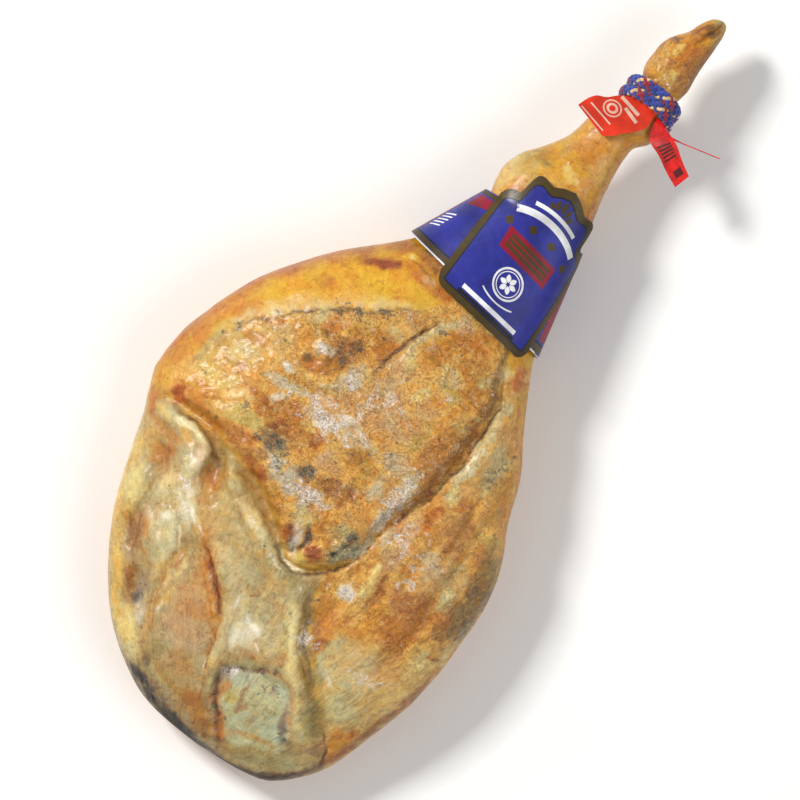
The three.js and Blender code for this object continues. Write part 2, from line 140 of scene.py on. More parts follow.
def spline(a, b, c, d, t):
    """The point at share t between b and c, by Catmull-Rom, with a before them and d after."""
    return b + 0.5 * t * (c - a + t * (2 * a - 5 * b + 4 * c - d + t * (3 * (b - c) + d - a)))


def shifted(path, right, up):
    """A path in plan, moved."""
    return [(a + right, b + up) for a, b in path]


def curve_through(knots):
    """A smooth curve through knots (place, value) that never passes a knot's value between two knots."""
    x, y = np.array(knots, float).T
    step = np.diff(x)
    rise = np.diff(y) / step
    slope = np.concatenate([rise[:1], np.zeros(len(rise) - 1), rise[-1:]])
    for i in range(1, len(rise)):
        a, b = rise[i - 1], rise[i]
        wa, wb = 2 * step[i] + step[i - 1], step[i] + 2 * step[i - 1]
        slope[i] = 0 if a * b <= 0 else (wa + wb) / (wa / a + wb / b)

    def at(place):
        p = np.clip(place, x[0], x[-1])
        i = np.clip(np.searchsorted(x, p, side="right") - 1, 0, len(step) - 1)
        t = (p - x[i]) / step[i]
        s = 1 - t
        ends = y[i] * (1 + 2 * t) * s * s + y[i + 1] * (3 - 2 * t) * t * t
        return ends + step[i] * t * s * (slope[i] * s - slope[i + 1] * t)

    return at


def lines_through(knots):
    """Straight lines through knots (place, value), which also go on past both ends."""
    x, y = np.array(knots, float).T

    def at(place):
        i = np.clip(np.searchsorted(x, place, side="left") - 1, 0, len(x) - 2)
        return lerp(y[i], y[i + 1], (place - x[i]) / (x[i + 1] - x[i]))

    return at


CARD_LINES = [lines_through(knots) for knots in (CARD_LEFT, CARD_RIGHT, CARD_TOP, CARD_UNDER)]


def on_section(lines, y, angle, lift=0.0):
    """Points of sections across the leg at angles round them. Angle 0 is right, and a quarter turn is up."""
    left, right, top, under = (line(y) for line in lines)
    c, s = np.cos(angle), np.sin(angle)
    power = np.where(s > 0, LEAN_ROUNDNESS, RIND_ROUNDNESS)
    r = (np.abs(c) ** power + np.abs(s) ** power) ** (-1 / power)
    rim = lerp(under, top, RIM_SHARE)
    height = np.where(s > 0, top - rim, rim - under) + lift
    x = (left + right) / 2 + ((right - left) / 2 + lift) * r * c
    return np.stack([x, y + 0 * x, rim + height * r * s], -1)


# Noise, made from a fixed seed.
RNG = np.random.default_rng(20)
SHUFFLE = RNG.permutation(256)
GRADIENTS = RNG.normal(size=(256, 3))
GRADIENTS /= np.linalg.norm(GRADIENTS, axis=1)[:, None]


def noise(p):
    """Gradient noise at points given in cells of the lattice, from about -1 to 1."""
    cell = np.floor(p).astype(int)
    f = p - cell
    u = f * f * f * (f * (f * 6 - 15) + 10)
    total = np.zeros(p.shape[:-1])
    for corner in np.ndindex(2, 2, 2):
        i = (cell + corner) & 255
        g = GRADIENTS[SHUFFLE[(SHUFFLE[(SHUFFLE[i[..., 0]] + i[..., 1]) & 255] + i[..., 2]) & 255]]
        weight = np.prod(np.where(np.array(corner) == 1, u, 1 - u), -1)
        total += weight * np.sum(g * (f - corner), -1)
    return total * 1.6


def fbm(p, size, octaves=3, shift=0.0):
    """Noise in octaves over points in millimetres, whose largest grains measure about `size`."""
    total = 0
    for k in range(octaves):
        total = total + noise(p / size * 2**k + shift + 17.3 * k) / 2**k
    return total


def nearest(path, x, y):
    """The distance to a path, the side (1 on its right, -1 on its left) and the share of its length."""
    best = np.full(x.shape, 1e9)
    side = np.ones(x.shape)
    share = np.zeros(x.shape)
    for i, ((ax, ay), (bx, by)) in enumerate(zip(path, path[1:])):
        dx, dy = bx - ax, by - ay
        t = np.clip(((x - ax) * dx + (y - ay) * dy) / (dx * dx + dy * dy), 0, 1)
        ex, ey = x - ax - dx * t, y - ay - dy * t
        d = np.hypot(ex, ey)
        closer = d < best
        best = np.where(closer, d, best)
        side = np.where(closer, np.where(dy * ex - dx * ey > 0, 1, -1), side)
        share = np.where(closer, (i + t) / (len(path) - 1), share)
    return best, side, share


def taper(share):
    """1 along the middle of a path, falling to 0 at both ends."""
    return np.sqrt(np.clip(6.4 * share * (1 - share), 0, 1))


def ridge(path, x, y, width, height):
    """Heights of a ridge along a path, or of a groove if the height is negative."""
    d, _, share = nearest(path, x, y)
    return height * np.exp(-((d / width) ** 2)) * taper(share)


def inside(outline, x, y, soft):
    """How far points lie inside a closed outline, from 0 to 1, with a soft edge."""
    closed = outline + outline[:1]
    d, _, _ = nearest(closed, x, y)
    odd = np.zeros(x.shape, bool)
    for (ax, ay), (bx, by) in zip(closed, closed[1:]):
        if ay != by:
            crosses = ((ay > y) != (by > y)) & (x < (bx - ax) * (y - ay) / (by - ay) + ax)
            odd ^= crosses
    return ease(np.where(odd, d, -d), -soft, soft)


def oval(x, y, at, size, turn=0.0):
    """A soft spot, 1 at its middle. Its size is across and along, turned anticlockwise by degrees."""
    c, s = math.cos(math.radians(turn)), math.sin(math.radians(turn))
    dx, dy = x - at[0], y - at[1]
    return np.exp(-(((dx * c + dy * s) / size[0]) ** 2) - ((-dx * s + dy * c) / size[1]) ** 2)


# Meshes.
def make_object(name, points, faces):
    """A smooth mesh from points in millimetres."""
    mesh = bpy.data.meshes.new(name)
    mesh.from_pydata((np.asarray(points, float).reshape(-1, 3) * MM).tolist(), [], faces)
    mesh.polygons.foreach_set("use_smooth", [True] * len(mesh.polygons))
    mesh.update()
    obj = bpy.data.objects.new(name, mesh)
    bpy.context.scene.collection.objects.link(obj)
    return obj


def grid_faces(rows, across, closed, first=0, flip=False):
    """Quads between the points of a grid, whose last column joins the first if it is closed."""
    i, j = np.meshgrid(np.arange(rows - 1), np.arange(across if closed else across - 1), indexing="ij")
    a = first + i * across + j
    b = first + i * across + (j + 1) % across
    quads = np.stack([a, b, b + across, a + across], -1).reshape(-1, 4)
    return (quads[:, ::-1] if flip else quads).tolist()


def tidy_mesh(obj, merge=False):
    """Turns the faces outwards, and merges points that lie on each other, such as those of a pole."""
    work = bmesh.new()
    work.from_mesh(obj.data)
    if merge:
        bmesh.ops.remove_doubles(work, verts=work.verts, dist=1e-6)
    bmesh.ops.recalc_face_normals(work, faces=work.faces)
    work.to_mesh(obj.data)
    work.free()


def piece(obj, node, material, merge=False):
    """Makes an object one of the ham's visible pieces, in place of a node."""
    tidy_mesh(obj, merge)
    obj.data.materials.append(material)
    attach(obj, "root")
    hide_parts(node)


# Materials.
class Shader:
    """A material with its nodes, which are added one by one."""

    def __init__(self, name, roughness, **sockets):
        self.material = bpy.data.materials.new(name)
        self.material.use_nodes = True
        self.tree = self.material.node_tree
        self.surface = self.tree.nodes["Principled BSDF"]
        self.surface.inputs["Roughness"].default_value = roughness
        for socket, value in sockets.items():
            self.surface.inputs[socket.replace("_", " ")].default_value = value

    def add(self, kind, **inputs):
        """A new node. An input's value is a number, a colour or another node's output."""
        node = self.tree.nodes.new(kind)
        for key, value in inputs.items():
            self.give(node.inputs[key.replace("_", " ")], value)
        return node

    def give(self, socket, value):
        """Links another node's output to a socket, or sets the socket's own value."""
        if isinstance(value, bpy.types.NodeSocket):
            self.tree.links.new(value, socket)
        else:
            socket.default_value = value

    def attribute(self, name):
        """The node that reads an attribute of the mesh."""
        node = self.add("ShaderNodeAttribute")
        node.attribute_name = name
        return node

    def place(self):
        """The places of a surface, in metres."""
        return self.add("ShaderNodeTexCoord").outputs["Object"]

    def noise(self, size, detail=4.0, roughness=0.55, distortion=0.0, place=None):
        """Noise whose grains measure about `size` millimetres, from 0 to 1."""
        node = self.add(
            "ShaderNodeTexNoise",
            Vector=place or self.place(),
            Scale=1 / (size * MM),
            Detail=detail,
            Roughness=roughness,
            Distortion=distortion,
        )
        return node.outputs["Fac"]

    def math(self, operation, a, b=0.0):
        """What an operation makes of one or two numbers."""
        node = self.tree.nodes.new("ShaderNodeMath")
        node.operation = operation
        self.give(node.inputs[0], a)
        self.give(node.inputs[1], b)
        return node.outputs[0]

    def times(self, a, b):
        return self.math("MULTIPLY", a, b)

    def spread(self, value, low, high, to_low=0.0, to_high=1.0):
        """A value's range from low to high, stretched smoothly to another range."""
        node = self.tree.nodes.new("ShaderNodeMapRange")
        node.interpolation_type = "SMOOTHSTEP"
        for socket, given in zip(node.inputs, (value, low, high, to_low, to_high)):
            self.give(socket, given)
        return node.outputs[0]

    def patches(self, amount, size, shift):
        """Ragged patches, 0 or 1, that cover more of the surface as the amount grows from 0 to 1."""
        node = self.tree.nodes.new("ShaderNodeTexNoise")
        node.noise_dimensions = "4D"
        values = {"Vector": self.place(), "W": shift, "Scale": 1 / (size * MM)}
        values |= {"Detail": 7.0, "Roughness": 0.66, "Distortion": 0.6}
        for key, value in values.items():
            self.give(node.inputs[key], value)
        level = self.math("ADD", node.outputs["Fac"], self.times(amount, 0.5))
        return self.spread(level, 0.70, 0.80)

    def mix(self, share, a, b, blend="MIX"):
        """Colour a with as much of colour b over it as the share says."""
        node = self.tree.nodes.new("ShaderNodeMix")
        node.data_type = "RGBA"
        node.blend_type = blend
        self.give(node.inputs[0], share)
        self.give(node.inputs[6], a)
        self.give(node.inputs[7], b)
        return node.outputs[2]

    def colour(self, value):
        self.give(self.surface.inputs["Base Color"], value)

    def rough(self, value):
        self.give(self.surface.inputs["Roughness"], value)

    def bump(self, height, distance, strength=1.0):
        """Bumps of `distance` millimetres for a height of 1, on top of those given before."""
        node = self.add("ShaderNodeBump", Height=height, Distance=distance * MM, Strength=strength)
        before = self.surface.inputs["Normal"].links
        if before:
            self.give(node.inputs["Normal"], before[0].from_socket)
        self.give(self.surface.inputs["Normal"], node.outputs["Normal"])


# The ham's surface, from the rings of points of its solid.
def ham_rings():
    """The rings of points of the solid, from the butt to the toe. A pole is a ring of one point."""
    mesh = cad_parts["ham"].data
    points = np.empty(len(mesh.vertices) * 3)
    mesh.vertices.foreach_get("co", points)
    points = np.unique((points.reshape(-1, 3) / MM).round(3), axis=0)
    rings = [points[np.abs(points[:, 1] - y) < 0.02] for y in np.unique(points[:, 1].round(2))]
    around = max(len(ring) for ring in rings)
    return np.array([ordered_ring(ring, around) for ring in rings])


def ordered_ring(ring, around):
    """The points of a ring in order, from the right rim over the top. A pole's point is repeated."""
    if len(ring) < around:
        return np.repeat(ring[:1], around, axis=0)
    low, high = ring.min(0), ring.max(0)
    right_rim = np.argmax(ring[:, 0])
    middle = np.array([(low[0] + high[0]) / 2, 0, ring[right_rim, 2]])
    half = np.maximum((high - low) / 2, 1e-6)
    across, _, up = ((ring - middle) / half).T
    angle = np.arctan2(up, across) % math.tau
    angle[right_rim] = 0
    return ring[np.argsort(angle)]


def blend_rows(points, steps, closed):
    """Smooth rows between the rows of points, `steps[i]` of them from row i on."""
    n = len(points)
    out = []
    for i in range(n if closed else n - 1):
        picks = [(i + k) % n if closed else min(max(i + k, 0), n - 1) for k in (-1, 0, 1, 2)]
        a, b, c, d = (points[pick] for pick in picks)
        out += [spline(a, b, c, d, k / steps[i]) for k in range(steps[i])]
    if not closed:
        out.append(points[-1])
    return np.array(out)


def ham_surface(first, last, row_step, lean_steps):
    """A dense grid over the rings from first to last."""
    rings = RINGS[first : last + 1]
    lean = RINGS.shape[1] - RIND_POINTS
    steps = [lean_steps] * lean + [RIND_STEPS] * RIND_POINTS
    wide = blend_rows(rings.transpose(1, 0, 2), steps, True).transpose(1, 0, 2)
    gaps = np.diff(rings[:, 0, 1])
    return blend_rows(wide, [max(1, round(gap / row_step)) for gap in gaps], False)


RIND_POINTS = 16
RINGS = ham_rings()
# How finely the mesh of the ham follows the rings: steps between their points, and the distance of its rows.
LEAN_STEPS = 6
RIND_STEPS = 3
SHANK_STEPS = 3
BODY_ROW = 8.8
SHANK_ROW = 1.4
# How far up the surface has to face for the relief and the paint of the lean side. The relief fades above the
# floor and towards the cut between body and shank.
RELIEF_START = (-0.15, 0.35)
PAINT_START = (-0.4, 0.05)
FLOOR_FADE = (0.5, 6)
CUT_FADE = 25


def leg_line(pick):
    """A line along the leg: what pick takes from each ring, such as its lowest x."""
    ys = RINGS[:, 0, 1]
    values = np.array([pick(ring) for ring in RINGS])
    return lambda y: np.interp(y, ys, values)


LEG_LINES = [
    leg_line(lambda ring: ring[:, 0].min()),
    leg_line(lambda ring: ring[:, 0].max()),
    leg_line(lambda ring: ring[:, 2].max()),
    leg_line(lambda ring: ring[:, 2].min()),
]


def grain_places(p):
    """Places along and across the fibres, which spread from the bone end, in metres."""
    dx, dy = p[..., 0] - FIBRE_ROOT[0], p[..., 1] - FIBRE_ROOT[1]
    across = np.arctan2(dx, dy) * 200
    return np.stack([across, np.hypot(dx, dy), p[..., 2]], -1) * MM


# Folds and creases of the lean side: path, width and height.
FOLDS = [
    ([(-142, -11), (-122, -12), (-104, -12), (-94, -18), (-90, -32), (-95, -46)], 6.5, 4.0),
    ([(-150, 0), (-132, -2), (-112, -2), (-96, -3), (-84, -12), (-75, -26), (-69, -42)], 4.6, -4.0),
    ([(-152, -20), (-132, -26), (-112, -28)], 5, -2.0),
    ([(-84, -22), (-76, -38), (-70, -52)], 6, -2.6),
    ([(-104, -34), (-102, -50), (-98, -66)], 4, 1.8),
    ([(-72, -16), (-60, -26), (-44, -34)], 7, 2.4),
    ([(-44, -38), (-28, -44), (-12, -52), (4, -66)], 8, 3.6),
    ([(-72, -32), (-52, -44), (-30, -58)], 3, -1.8),
    ([(-58, -14), (-34, -24), (-14, -37), (2, -50)], 4.5, -3.2),
    ([(-110, -56), (-102, -80), (-92, -104), (-82, -122)], 8, 2.6),
    ([(-124, -52), (-117, -70), (-114, -88), (-112, -104), (-102, -122), (-90, -134)], 4.5, -3.2),
    ([(-88, -136), (-80, -152), (-72, -170)], 6, -2.4),
    ([(-64, -102), (-66, -120), (-60, -150), (-51, -184)], 3, -2.0),
    ([(-57, -100), (-58, -122), (-53, -150), (-46, -180)], 3.4, 1.8),
    ([(-40, -80), (-22, -96), (-4, -112), (4, -134), (12, -156)], 7, 2.4),
    ([(-52, -85), (-40, -95), (-26, -107), (-11, -121), (-3, -131), (1, -146)], 2.3, -4.0),
    ([(-44, -98), (-30, -110), (-14, -125), (-7, -136)], 2.2, 1.4),
    ([(1, -146), (6, -168), (18, -200)], 2.6, -1.8),
    (TENDON, 4.2, 2.6),
    (VALLEY, 4.4, -3.0),
    ([(62, -94), (72, -106), (80, -116), (96, -134)], 3.4, 2.0),
    ([(104, 150), (104, 110), (101, 66)], 6, 1.8),
    ([(122, 128), (126, 90), (130, 50), (131, 0)], 4, -1.6),
    ([(141, 70), (144, 20), (142, -50)], 5, -2.0),
    ([(154, 60), (156, 10), (152, -50)], 7, 2),
    ([(88, -16), (88, -40), (84, -66)], 3.4, 1.8),
    ([(97, -18), (98, -46), (92, -80)], 2.6, -2.2),
    ([(106, -34), (108, -60), (100, -92)], 5, 1.6),
    ([(116, 40), (114, 0), (112, -40)], 4, -1.2),
    ([(60, -66), (72, -96), (80, -122)], 6, 1.2),
    ([(28, 198), (16, 180), (7, 160), (1, 134)], 4, 2.0),
    ([(124, -168), (137, -176), (140, -194)], 2.4, -2),
    ([(-156, 22), (-148, 24), (-141, 12), (-138, 2)], 2.6, -2.2),
    ([(-140, 14), (-126, 4), (-104, 1), (-82, 2)], 8, -1.2),
]
CREASES = [
    (SLIT, 1.5, -2.6), (shifted(FLAP_RIGHT[2:], 2, 0), 1.5, -1.7), (BONE_LINE[3:], 1.6, -2.2),
    ([(2, -53), (13, -60), (28, -61), (40, -56), (53, -46), (64, -33)], 1.7, -3.4),
    ([(14, -30), (13, -40), (17, -54)], 1.6, -2.4), ([(19, -30), (23, -36), (25, -46)], 2.2, -3.6),
    ([(42, -20), (40, -34), (42, -46)], 1.5, -2.4),
    ([(55, -8), (55, -20), (49, -30), (45, -38)], 2.0, -2.6),
    ([(60, -12), (60, -24), (55, -34)], 1.4, -1.8), ([(-66, 12), (-52, 12), (-38, 10)], 1.5, -2.0),
    ([(-62, 18), (-48, 20), (-34, 17)], 1.5, -1.8), ([(-58, 5), (-44, 4), (-32, -4)], 1.3, -1.4),
    ([(-16, 14), (-8, 8), (0, 12)], 2.4, -2.0), ([(8, 14), (16, 10), (26, 12)], 2.0, -1.8),
    ([(-4, -6), (0, -14), (6, -20)], 1.3, -1.6), ([(30, 34), (33, 20), (30, 2)], 1.6, -1.4),
    ([(64, 34), (66, 10), (64, -14)], 1.2, -1.0),
]
# Humps and hollows: place, size and height.
HUMPS = [
    ((-28, -142), (26, 44), 2.6), ((72, -176), (26, 22), 1.6), ((32, -167), (8, 7), 1.4),
    ((12, -42), (3.0, 9), 3.2), ((26, -52), (5, 4), 2.6), ((6, -41), (4.4, 9), 1.8),
    ((32, -43), (6, 5), 2.0), ((50, -31), (7, 7), 1.8), ((57, -20), (4, 8), 1.2),
    ((-150, 16), (7, 11), 2.4), ((-40, 2), (5, 10), 1.6), ((-86, 20), (26, 8), 1.4), ((2, -4), (9, 5), 1.6),
    ((-12, 0), (8, 6), 1.4), ((-122, -46), (8, 10), -1.8), ((-18, 100), (7, 12), 1.0),
    ((-56, 108), (8, 7), 1.0), ((20, 14), (18, 8), -1.2), ((50, 44), (9, 14), 0.8),
    ((130, -182), (8, 10), 1.0), ((142, -162), (9, 9), 1.4), ((166, 10), (9, 30), -1.2),
]


def lean_relief(p):
    """Folds, creases, crust and fibres of the lean side, in millimetres."""
    x = p[..., 0] + 1.6 * fbm(p, 18, 3, 5.0)
    y = p[..., 1] + 1.6 * fbm(p, 18, 3, 60.0)
    h = 1.3 * fbm(p, 38, 2, 3.0) + 0.4 * fbm(p, 9, 3, 30.0)
    for path, width, height in FOLDS + CREASES:
        h += ridge(path, x, y, width, height)
    for at, size, height in HUMPS:
        h += height * oval(x, y, at, size)
    # the dry crust of the flap, craggy at its tip
    flap = inside(FLAP + RIND_LINE, x, y, 5)
    h += flap * (0.4 - np.abs(1.1 * fbm(p, 13, 4, 44.0)))
    tip = oval(x, y, (36, -32), (34, 22))
    tip = tip + 0.7 * oval(x, y, (-48, 8), (24, 14)) + 0.7 * oval(x, y, (0, 2), (26, 20))
    h += flap * tip * (1.0 - np.abs(2.6 * fbm(p, 8, 4, 74.0)))
    # fibres
    grain = grain_places(p) / MM * (0.4, 0.035, 0.1)
    h += (1 - flap) * 0.4 * fbm(grain, 2.4, 3, 70.0)
    return h


FOOT_FOLDS = [
    ([(61, 500), (66, 514), (69, 524), (71, 536)], 2.2, -3.0),
    ([(36, 501), (42, 498), (48, 497), (52, 501)], 1.8, -3.4),
    ([(52, 510), (60, 514), (66, 513)], 2.0, -1.6),
]
FOOT_START = (448, 462)


def rind_relief(p):
    """Broad, shallow waves of the rind."""
    return 0.22 * fbm(p, 26, 2, 8.0)


def foot_relief(p):
    """Fine relief of the shank and foot, in millimetres."""
    x, y = p[..., 0], p[..., 1]
    h = 0.3 * fbm(p, 14, 3, 12.0) + 0.5 * ease(y, *FOOT_START) * fbm(p, 6, 3, 33.0)
    for path, width, height in FOOT_FOLDS:
        h += ridge(path, x, y, width, height)
    h += 0.9 * oval(x, y, (52, 490), (3.5, 8), -14)
    h += 1.0 * oval(x, y, (72, 514), (3.5, 7), 4)
    return h


def displace(grid, relief):
    """The grid, moved along its normals by the relief."""
    along = np.gradient(grid, axis=0)
    around = (np.roll(grid, -1, 1) - np.roll(grid, 1, 1)) / 2
    normal = np.cross(along, around)
    normal /= np.maximum(np.linalg.norm(normal, axis=-1, keepdims=True), 1e-9)
    return grid + normal * relief[..., None], normal


def ham_mesh(name, grid, end):
    """A closed mesh from a grid round the leg, whose open end is closed by a point in its middle."""
    rows, across = grid.shape[:2]
    row = 0 if end == "low" else rows - 1
    middle = rows * across
    points = np.concatenate([grid.reshape(-1, 3), grid[row].mean(0, keepdims=True)])
    faces = grid_faces(rows, across, True, 0, True)
    for j in range(across):
        a, b = row * across + j, row * across + (j + 1) % across
        faces.append((middle, a, b) if end == "low" else (middle, b, a))
    return make_object(name, points, faces)


def store(obj, name, values, kind="FLOAT_COLOR", field="color"):
    """Stores three numbers on each point of the grid, and zeros on the point that closes its end."""
    flat = np.concatenate([values.reshape(-1, 3), np.zeros((1, 3))])
    if kind == "FLOAT_COLOR":
        flat = np.concatenate([flat, np.ones((len(flat), 1))], 1)
    obj.data.attributes.new(name, kind, "POINT").data.foreach_set(field, flat.astype(np.float32).ravel())


# The paint of the ham, as seen colours, from pale to dark. WHITE and PEARL also serve for painted highlights,
# and BROWN and OCHRE for painted shade in places.
WHITE = (230, 226, 218)
PEARL = (207, 194, 150)
PALE = (218, 200, 136)
CREAM = (206, 190, 142)
GREY = (196, 186, 164)
PINK = (200, 162, 116)
TAN = (196, 154, 90)
OLIVE = (182, 162, 88)
YELLOW = (210, 162, 30)
GOLD = (206, 150, 44)
OCHRE = (184, 132, 44)
ORANGE = (180, 114, 34)
SALMON = (184, 144, 98)
BROWN = (148, 98, 38)
RED_BROWN = (134, 78, 36)
GREEN_GREY = (180, 180, 142)
DULL_OLIVE = (134, 118, 70)
SLATE = (122, 122, 108)
DARK = (104, 76, 42)
BLACK = (64, 56, 46)

# Spots: place, size across and along, colour, strength, and perhaps how many degrees they are turned
# anticlockwise.
RIND_SPOTS = [
    ((-40, 188), (40, 8), YELLOW, 0.8, 18), ((-104, 166), (18, 26), YELLOW, 0.7, -40),
    ((-88, 156), (12, 8), ORANGE, 0.5, 20), ((-118, 132), (22, 10), YELLOW, 0.6, 50),
    ((-104, 124), (26, 7), (214, 180, 112), 0.8, 48), ((-62, 156), (30, 7), (214, 176, 92), 0.7, 34),
    ((-132, 98), (10, 14), ORANGE, 0.6, -30), ((-152, 62), (8, 20), ORANGE, 0.6, -8),
    ((-146, 92), (6, 24), GOLD, 0.6, -24), ((-140, 52), (8, 26), OCHRE, 0.6),
    ((-154, 30), (9, 16), OCHRE, 0.8), ((-12, 204), (30, 8), ORANGE, 0.95, -6),
    ((-54, 198), (14, 5), (134, 68, 36), 0.95, 28), ((-66, 192), (10, 4), RED_BROWN, 0.8, 26),
    ((-76, 198), (10, 8), BROWN, 0.7, 40), ((-50, 218), (16, 8), BROWN, 0.75, 38),
    ((-22, 222), (20, 8), BROWN, 0.8, -8), ((-14, 206), (8, 5), PINK, 0.8), ((-38, 214), (3, 2), PALE, 0.9),
    ((-28, 227), (6, 2.5), BLACK, 0.7, -10), ((-24, 212), (9, 1.6), RED_BROWN, 0.9, -8),
    ((10, 194), (8, 6), TAN, 0.7), ((-84, 176), (3, 1.2), BROWN, 0.7, 20),
    ((-148, 16), (7, 10), (214, 168, 84), 0.9, 10), ((-120, 150), (30, 3), (170, 118, 44), 0.6, 46),
]
FLAP_SPOTS = [
    ((-128, 62), (16, 20), OLIVE, 0.7, -20), ((-110, 68), (14, 12), CREAM, 0.6),
    ((-96, 92), (14, 12), CREAM, 0.5, 30), ((-76, 130), (12, 8), CREAM, 0.8, 40),
    ((-70, 118), (16, 8), OCHRE, 0.6, 40), ((-108, 104), (10, 5), ORANGE, 0.7, 30),
    ((-112, 82), (14, 5), ORANGE, 0.6, 10), ((-60, 130), (10, 6), ORANGE, 0.6, 40),
    ((-110, 56), (6, 4), SALMON, 0.9), ((-104, 44), (16, 8), TAN, 0.7, 10),
    ((-92, 36), (16, 6), (224, 198, 140), 0.7, 20), ((-86, 20), (28, 9), (198, 178, 104), 0.95, 12),
    # (-122, 18), (-106, 6), (-74, 5) and (-138, 8): orange-brown painted shade along the flap's lower lip,
    # which faces away from the light
    ((-122, 18), (24, 10), (196, 140, 50), 0.9, -20), ((-106, 6), (34, 8), (182, 124, 46), 0.9, 2),
    ((-100, 16), (18, 7), (206, 176, 98), 0.7, 10), ((-132, 40), (10, 12), (206, 168, 84), 0.8),
    ((-146, 26), (8, 12), (212, 172, 92), 0.8, 20), ((-118, 36), (16, 8), (214, 194, 124), 0.7, 10),
    ((-74, 5), (12, 7), (176, 116, 46), 0.9), ((-138, 8), (6, 9), (176, 100, 40), 0.95, 20),
    ((-158, -4), (8, 10), OCHRE, 0.8, 30), ((-62, 44), (22, 10), ORANGE, 0.95, 16),
    ((-48, 38), (16, 7), ORANGE, 0.9), ((-18, 38), (7, 5), ORANGE, 0.9),
    ((-50, 30), (14, 5), RED_BROWN, 0.9, -8), ((-56, 92), (16, 6), ORANGE, 0.8, 10),
    ((-42, 116), (16, 12), BROWN, 0.85, 30), ((-36, 142), (16, 8), OCHRE, 0.8, 20),
    ((-14, 140), (8, 14), ORANGE, 0.85, -10), ((-14, 152), (9, 7), CREAM, 0.85),
    ((-10, 172), (12, 8), TAN, 0.8, 20), ((-42, 104), (10, 6), DARK, 0.9, 10),
    ((-34, 126), (6, 4), DARK, 0.8, 20), ((-64, 96), (5, 3), DARK, 0.8), ((-60, 120), (3, 4), DARK, 0.8),
    ((-56, 107), (7, 6), GREY, 1.0), ((-22, 100), (9, 14), GREY, 0.9, -16),
    ((-34, 82), (14, 6), GREY, 0.7, 20), ((-74, 79), (6, 3), WHITE, 0.9),
    ((-66, 66), (18, 5), GREY, 0.9, 8), ((-66, 52), (7, 4), WHITE, 0.8, 30),
    ((-18, 55), (11, 6), WHITE, 0.9, 20), ((-8, 69), (8, 5), WHITE, 0.9, 10), ((6, 68), (5, 4), WHITE, 0.7),
    ((-36, 58), (8, 5), GREY, 0.7), ((-50, 75), (20, 5), OCHRE, 0.7, 10), ((8, 60), (20, 6), GREY, 0.6, -6),
    ((-16, 82), (12, 8), PINK, 0.7), ((10, 96), (18, 24), PINK, 0.75), ((6, 126), (10, 14), PINK, 0.8),
    ((34, 88), (14, 16), PINK, 0.7), ((8, 140), (5, 6), PALE, 0.7), ((34, 122), (5, 9), PALE, 0.7, -10),
    ((46, 112), (9, 9), PINK, 0.6), ((46, 148), (9, 9), CREAM, 0.8), ((56, 136), (10, 6), OLIVE, 0.7),
    ((62, 144), (10, 3), PALE, 0.5, 10), ((78, 117), (8, 12), OLIVE, 0.9), ((54, 92), (6, 14), OLIVE, 0.7),
    # (72, 84), (84, 70) and (86, 132): brown painted shade on the flap's right slope, which faces away from
    # the light
    ((72, 84), (11, 26), BROWN, 0.7, -3), ((70, 152), (10, 20), OCHRE, 0.8),
    ((40, 182), (22, 10), ORANGE, 0.7, -6), ((24, 160), (12, 14), OCHRE, 0.8),
    ((56, 168), (10, 12), OCHRE, 0.7), ((84, 70), (5, 60), BROWN, 0.85, -6),
    ((86, 132), (6, 24), BROWN, 0.8), ((50, 60), (12, 8), GREY, 0.8, -20), ((54, 38), (9, 16), TAN, 0.8),
    ((66, 44), (8, 18), GREY, 0.85, -8), ((46, 30), (5, 12), GREY, 0.8, 10), ((66, 12), (5, 9), WHITE, 0.8),
    ((26, 44), (14, 9), OCHRE, 0.9), ((34, 26), (8, 12), OCHRE, 0.8),
    ((16, 14), (14, 7), RED_BROWN, 0.85, 6), ((28, 12), (4, 12), BROWN, 0.8),
    ((14, 46), (7, 4), BROWN, 0.7), ((2, 30), (10, 8), PINK, 0.8), ((-30, 28), (14, 8), TAN, 0.7),
    ((-16, -2), (12, 9), GREY, 1.0, -20), ((4, -2), (8, 5), WHITE, 0.9, -10),
    ((2, -14), (10, 6), GREY, 0.9, -30), ((-34, 4), (5, 9), GREEN_GREY, 0.9, 30),
    ((-34, -4), (6, 8), GREY, 0.8, 40), ((-48, -10), (18, 5), (166, 100, 48), 0.95, -24),
    ((-50, 4), (8, 4), SALMON, 0.8), ((50, 8), (9, 8), (204, 156, 84), 0.7), ((40, -2), (9, 9), TAN, 0.8),
    ((28, -16), (12, 7), OCHRE, 0.7, 10), ((10, -22), (12, 7), (196, 182, 124), 0.8),
    ((-20, -22), (16, 6), OCHRE, 0.6, -34), ((5, -39), (5, 9), (164, 94, 40), 1.0, 16),
    ((32, -43), (8, 6), (146, 82, 42), 1.0, 10), ((26, -52), (6, 4.4), (214, 184, 92), 1.0),
    ((49, -30), (8, 9), (176, 176, 128), 0.95), ((13, -41), (3.2, 11), (196, 190, 178), 1.0, 10),
    ((21, -35), (3, 5), (84, 78, 70), 0.9), ((44, -14), (8, 7), (186, 178, 124), 0.7),
    ((40, -24), (6, 6), OCHRE, 0.7), ((64, -8), (3.4, 22), GREY, 0.8),
    ((68, 26), (5, 14), (180, 176, 162), 0.8, -8), ((-10, 12), (9, 7), (124, 112, 92), 0.8),
    ((-50, 20), (12, 6), (126, 114, 92), 0.7), ((54, -18), (6, 12), (122, 118, 100), 0.6),
]
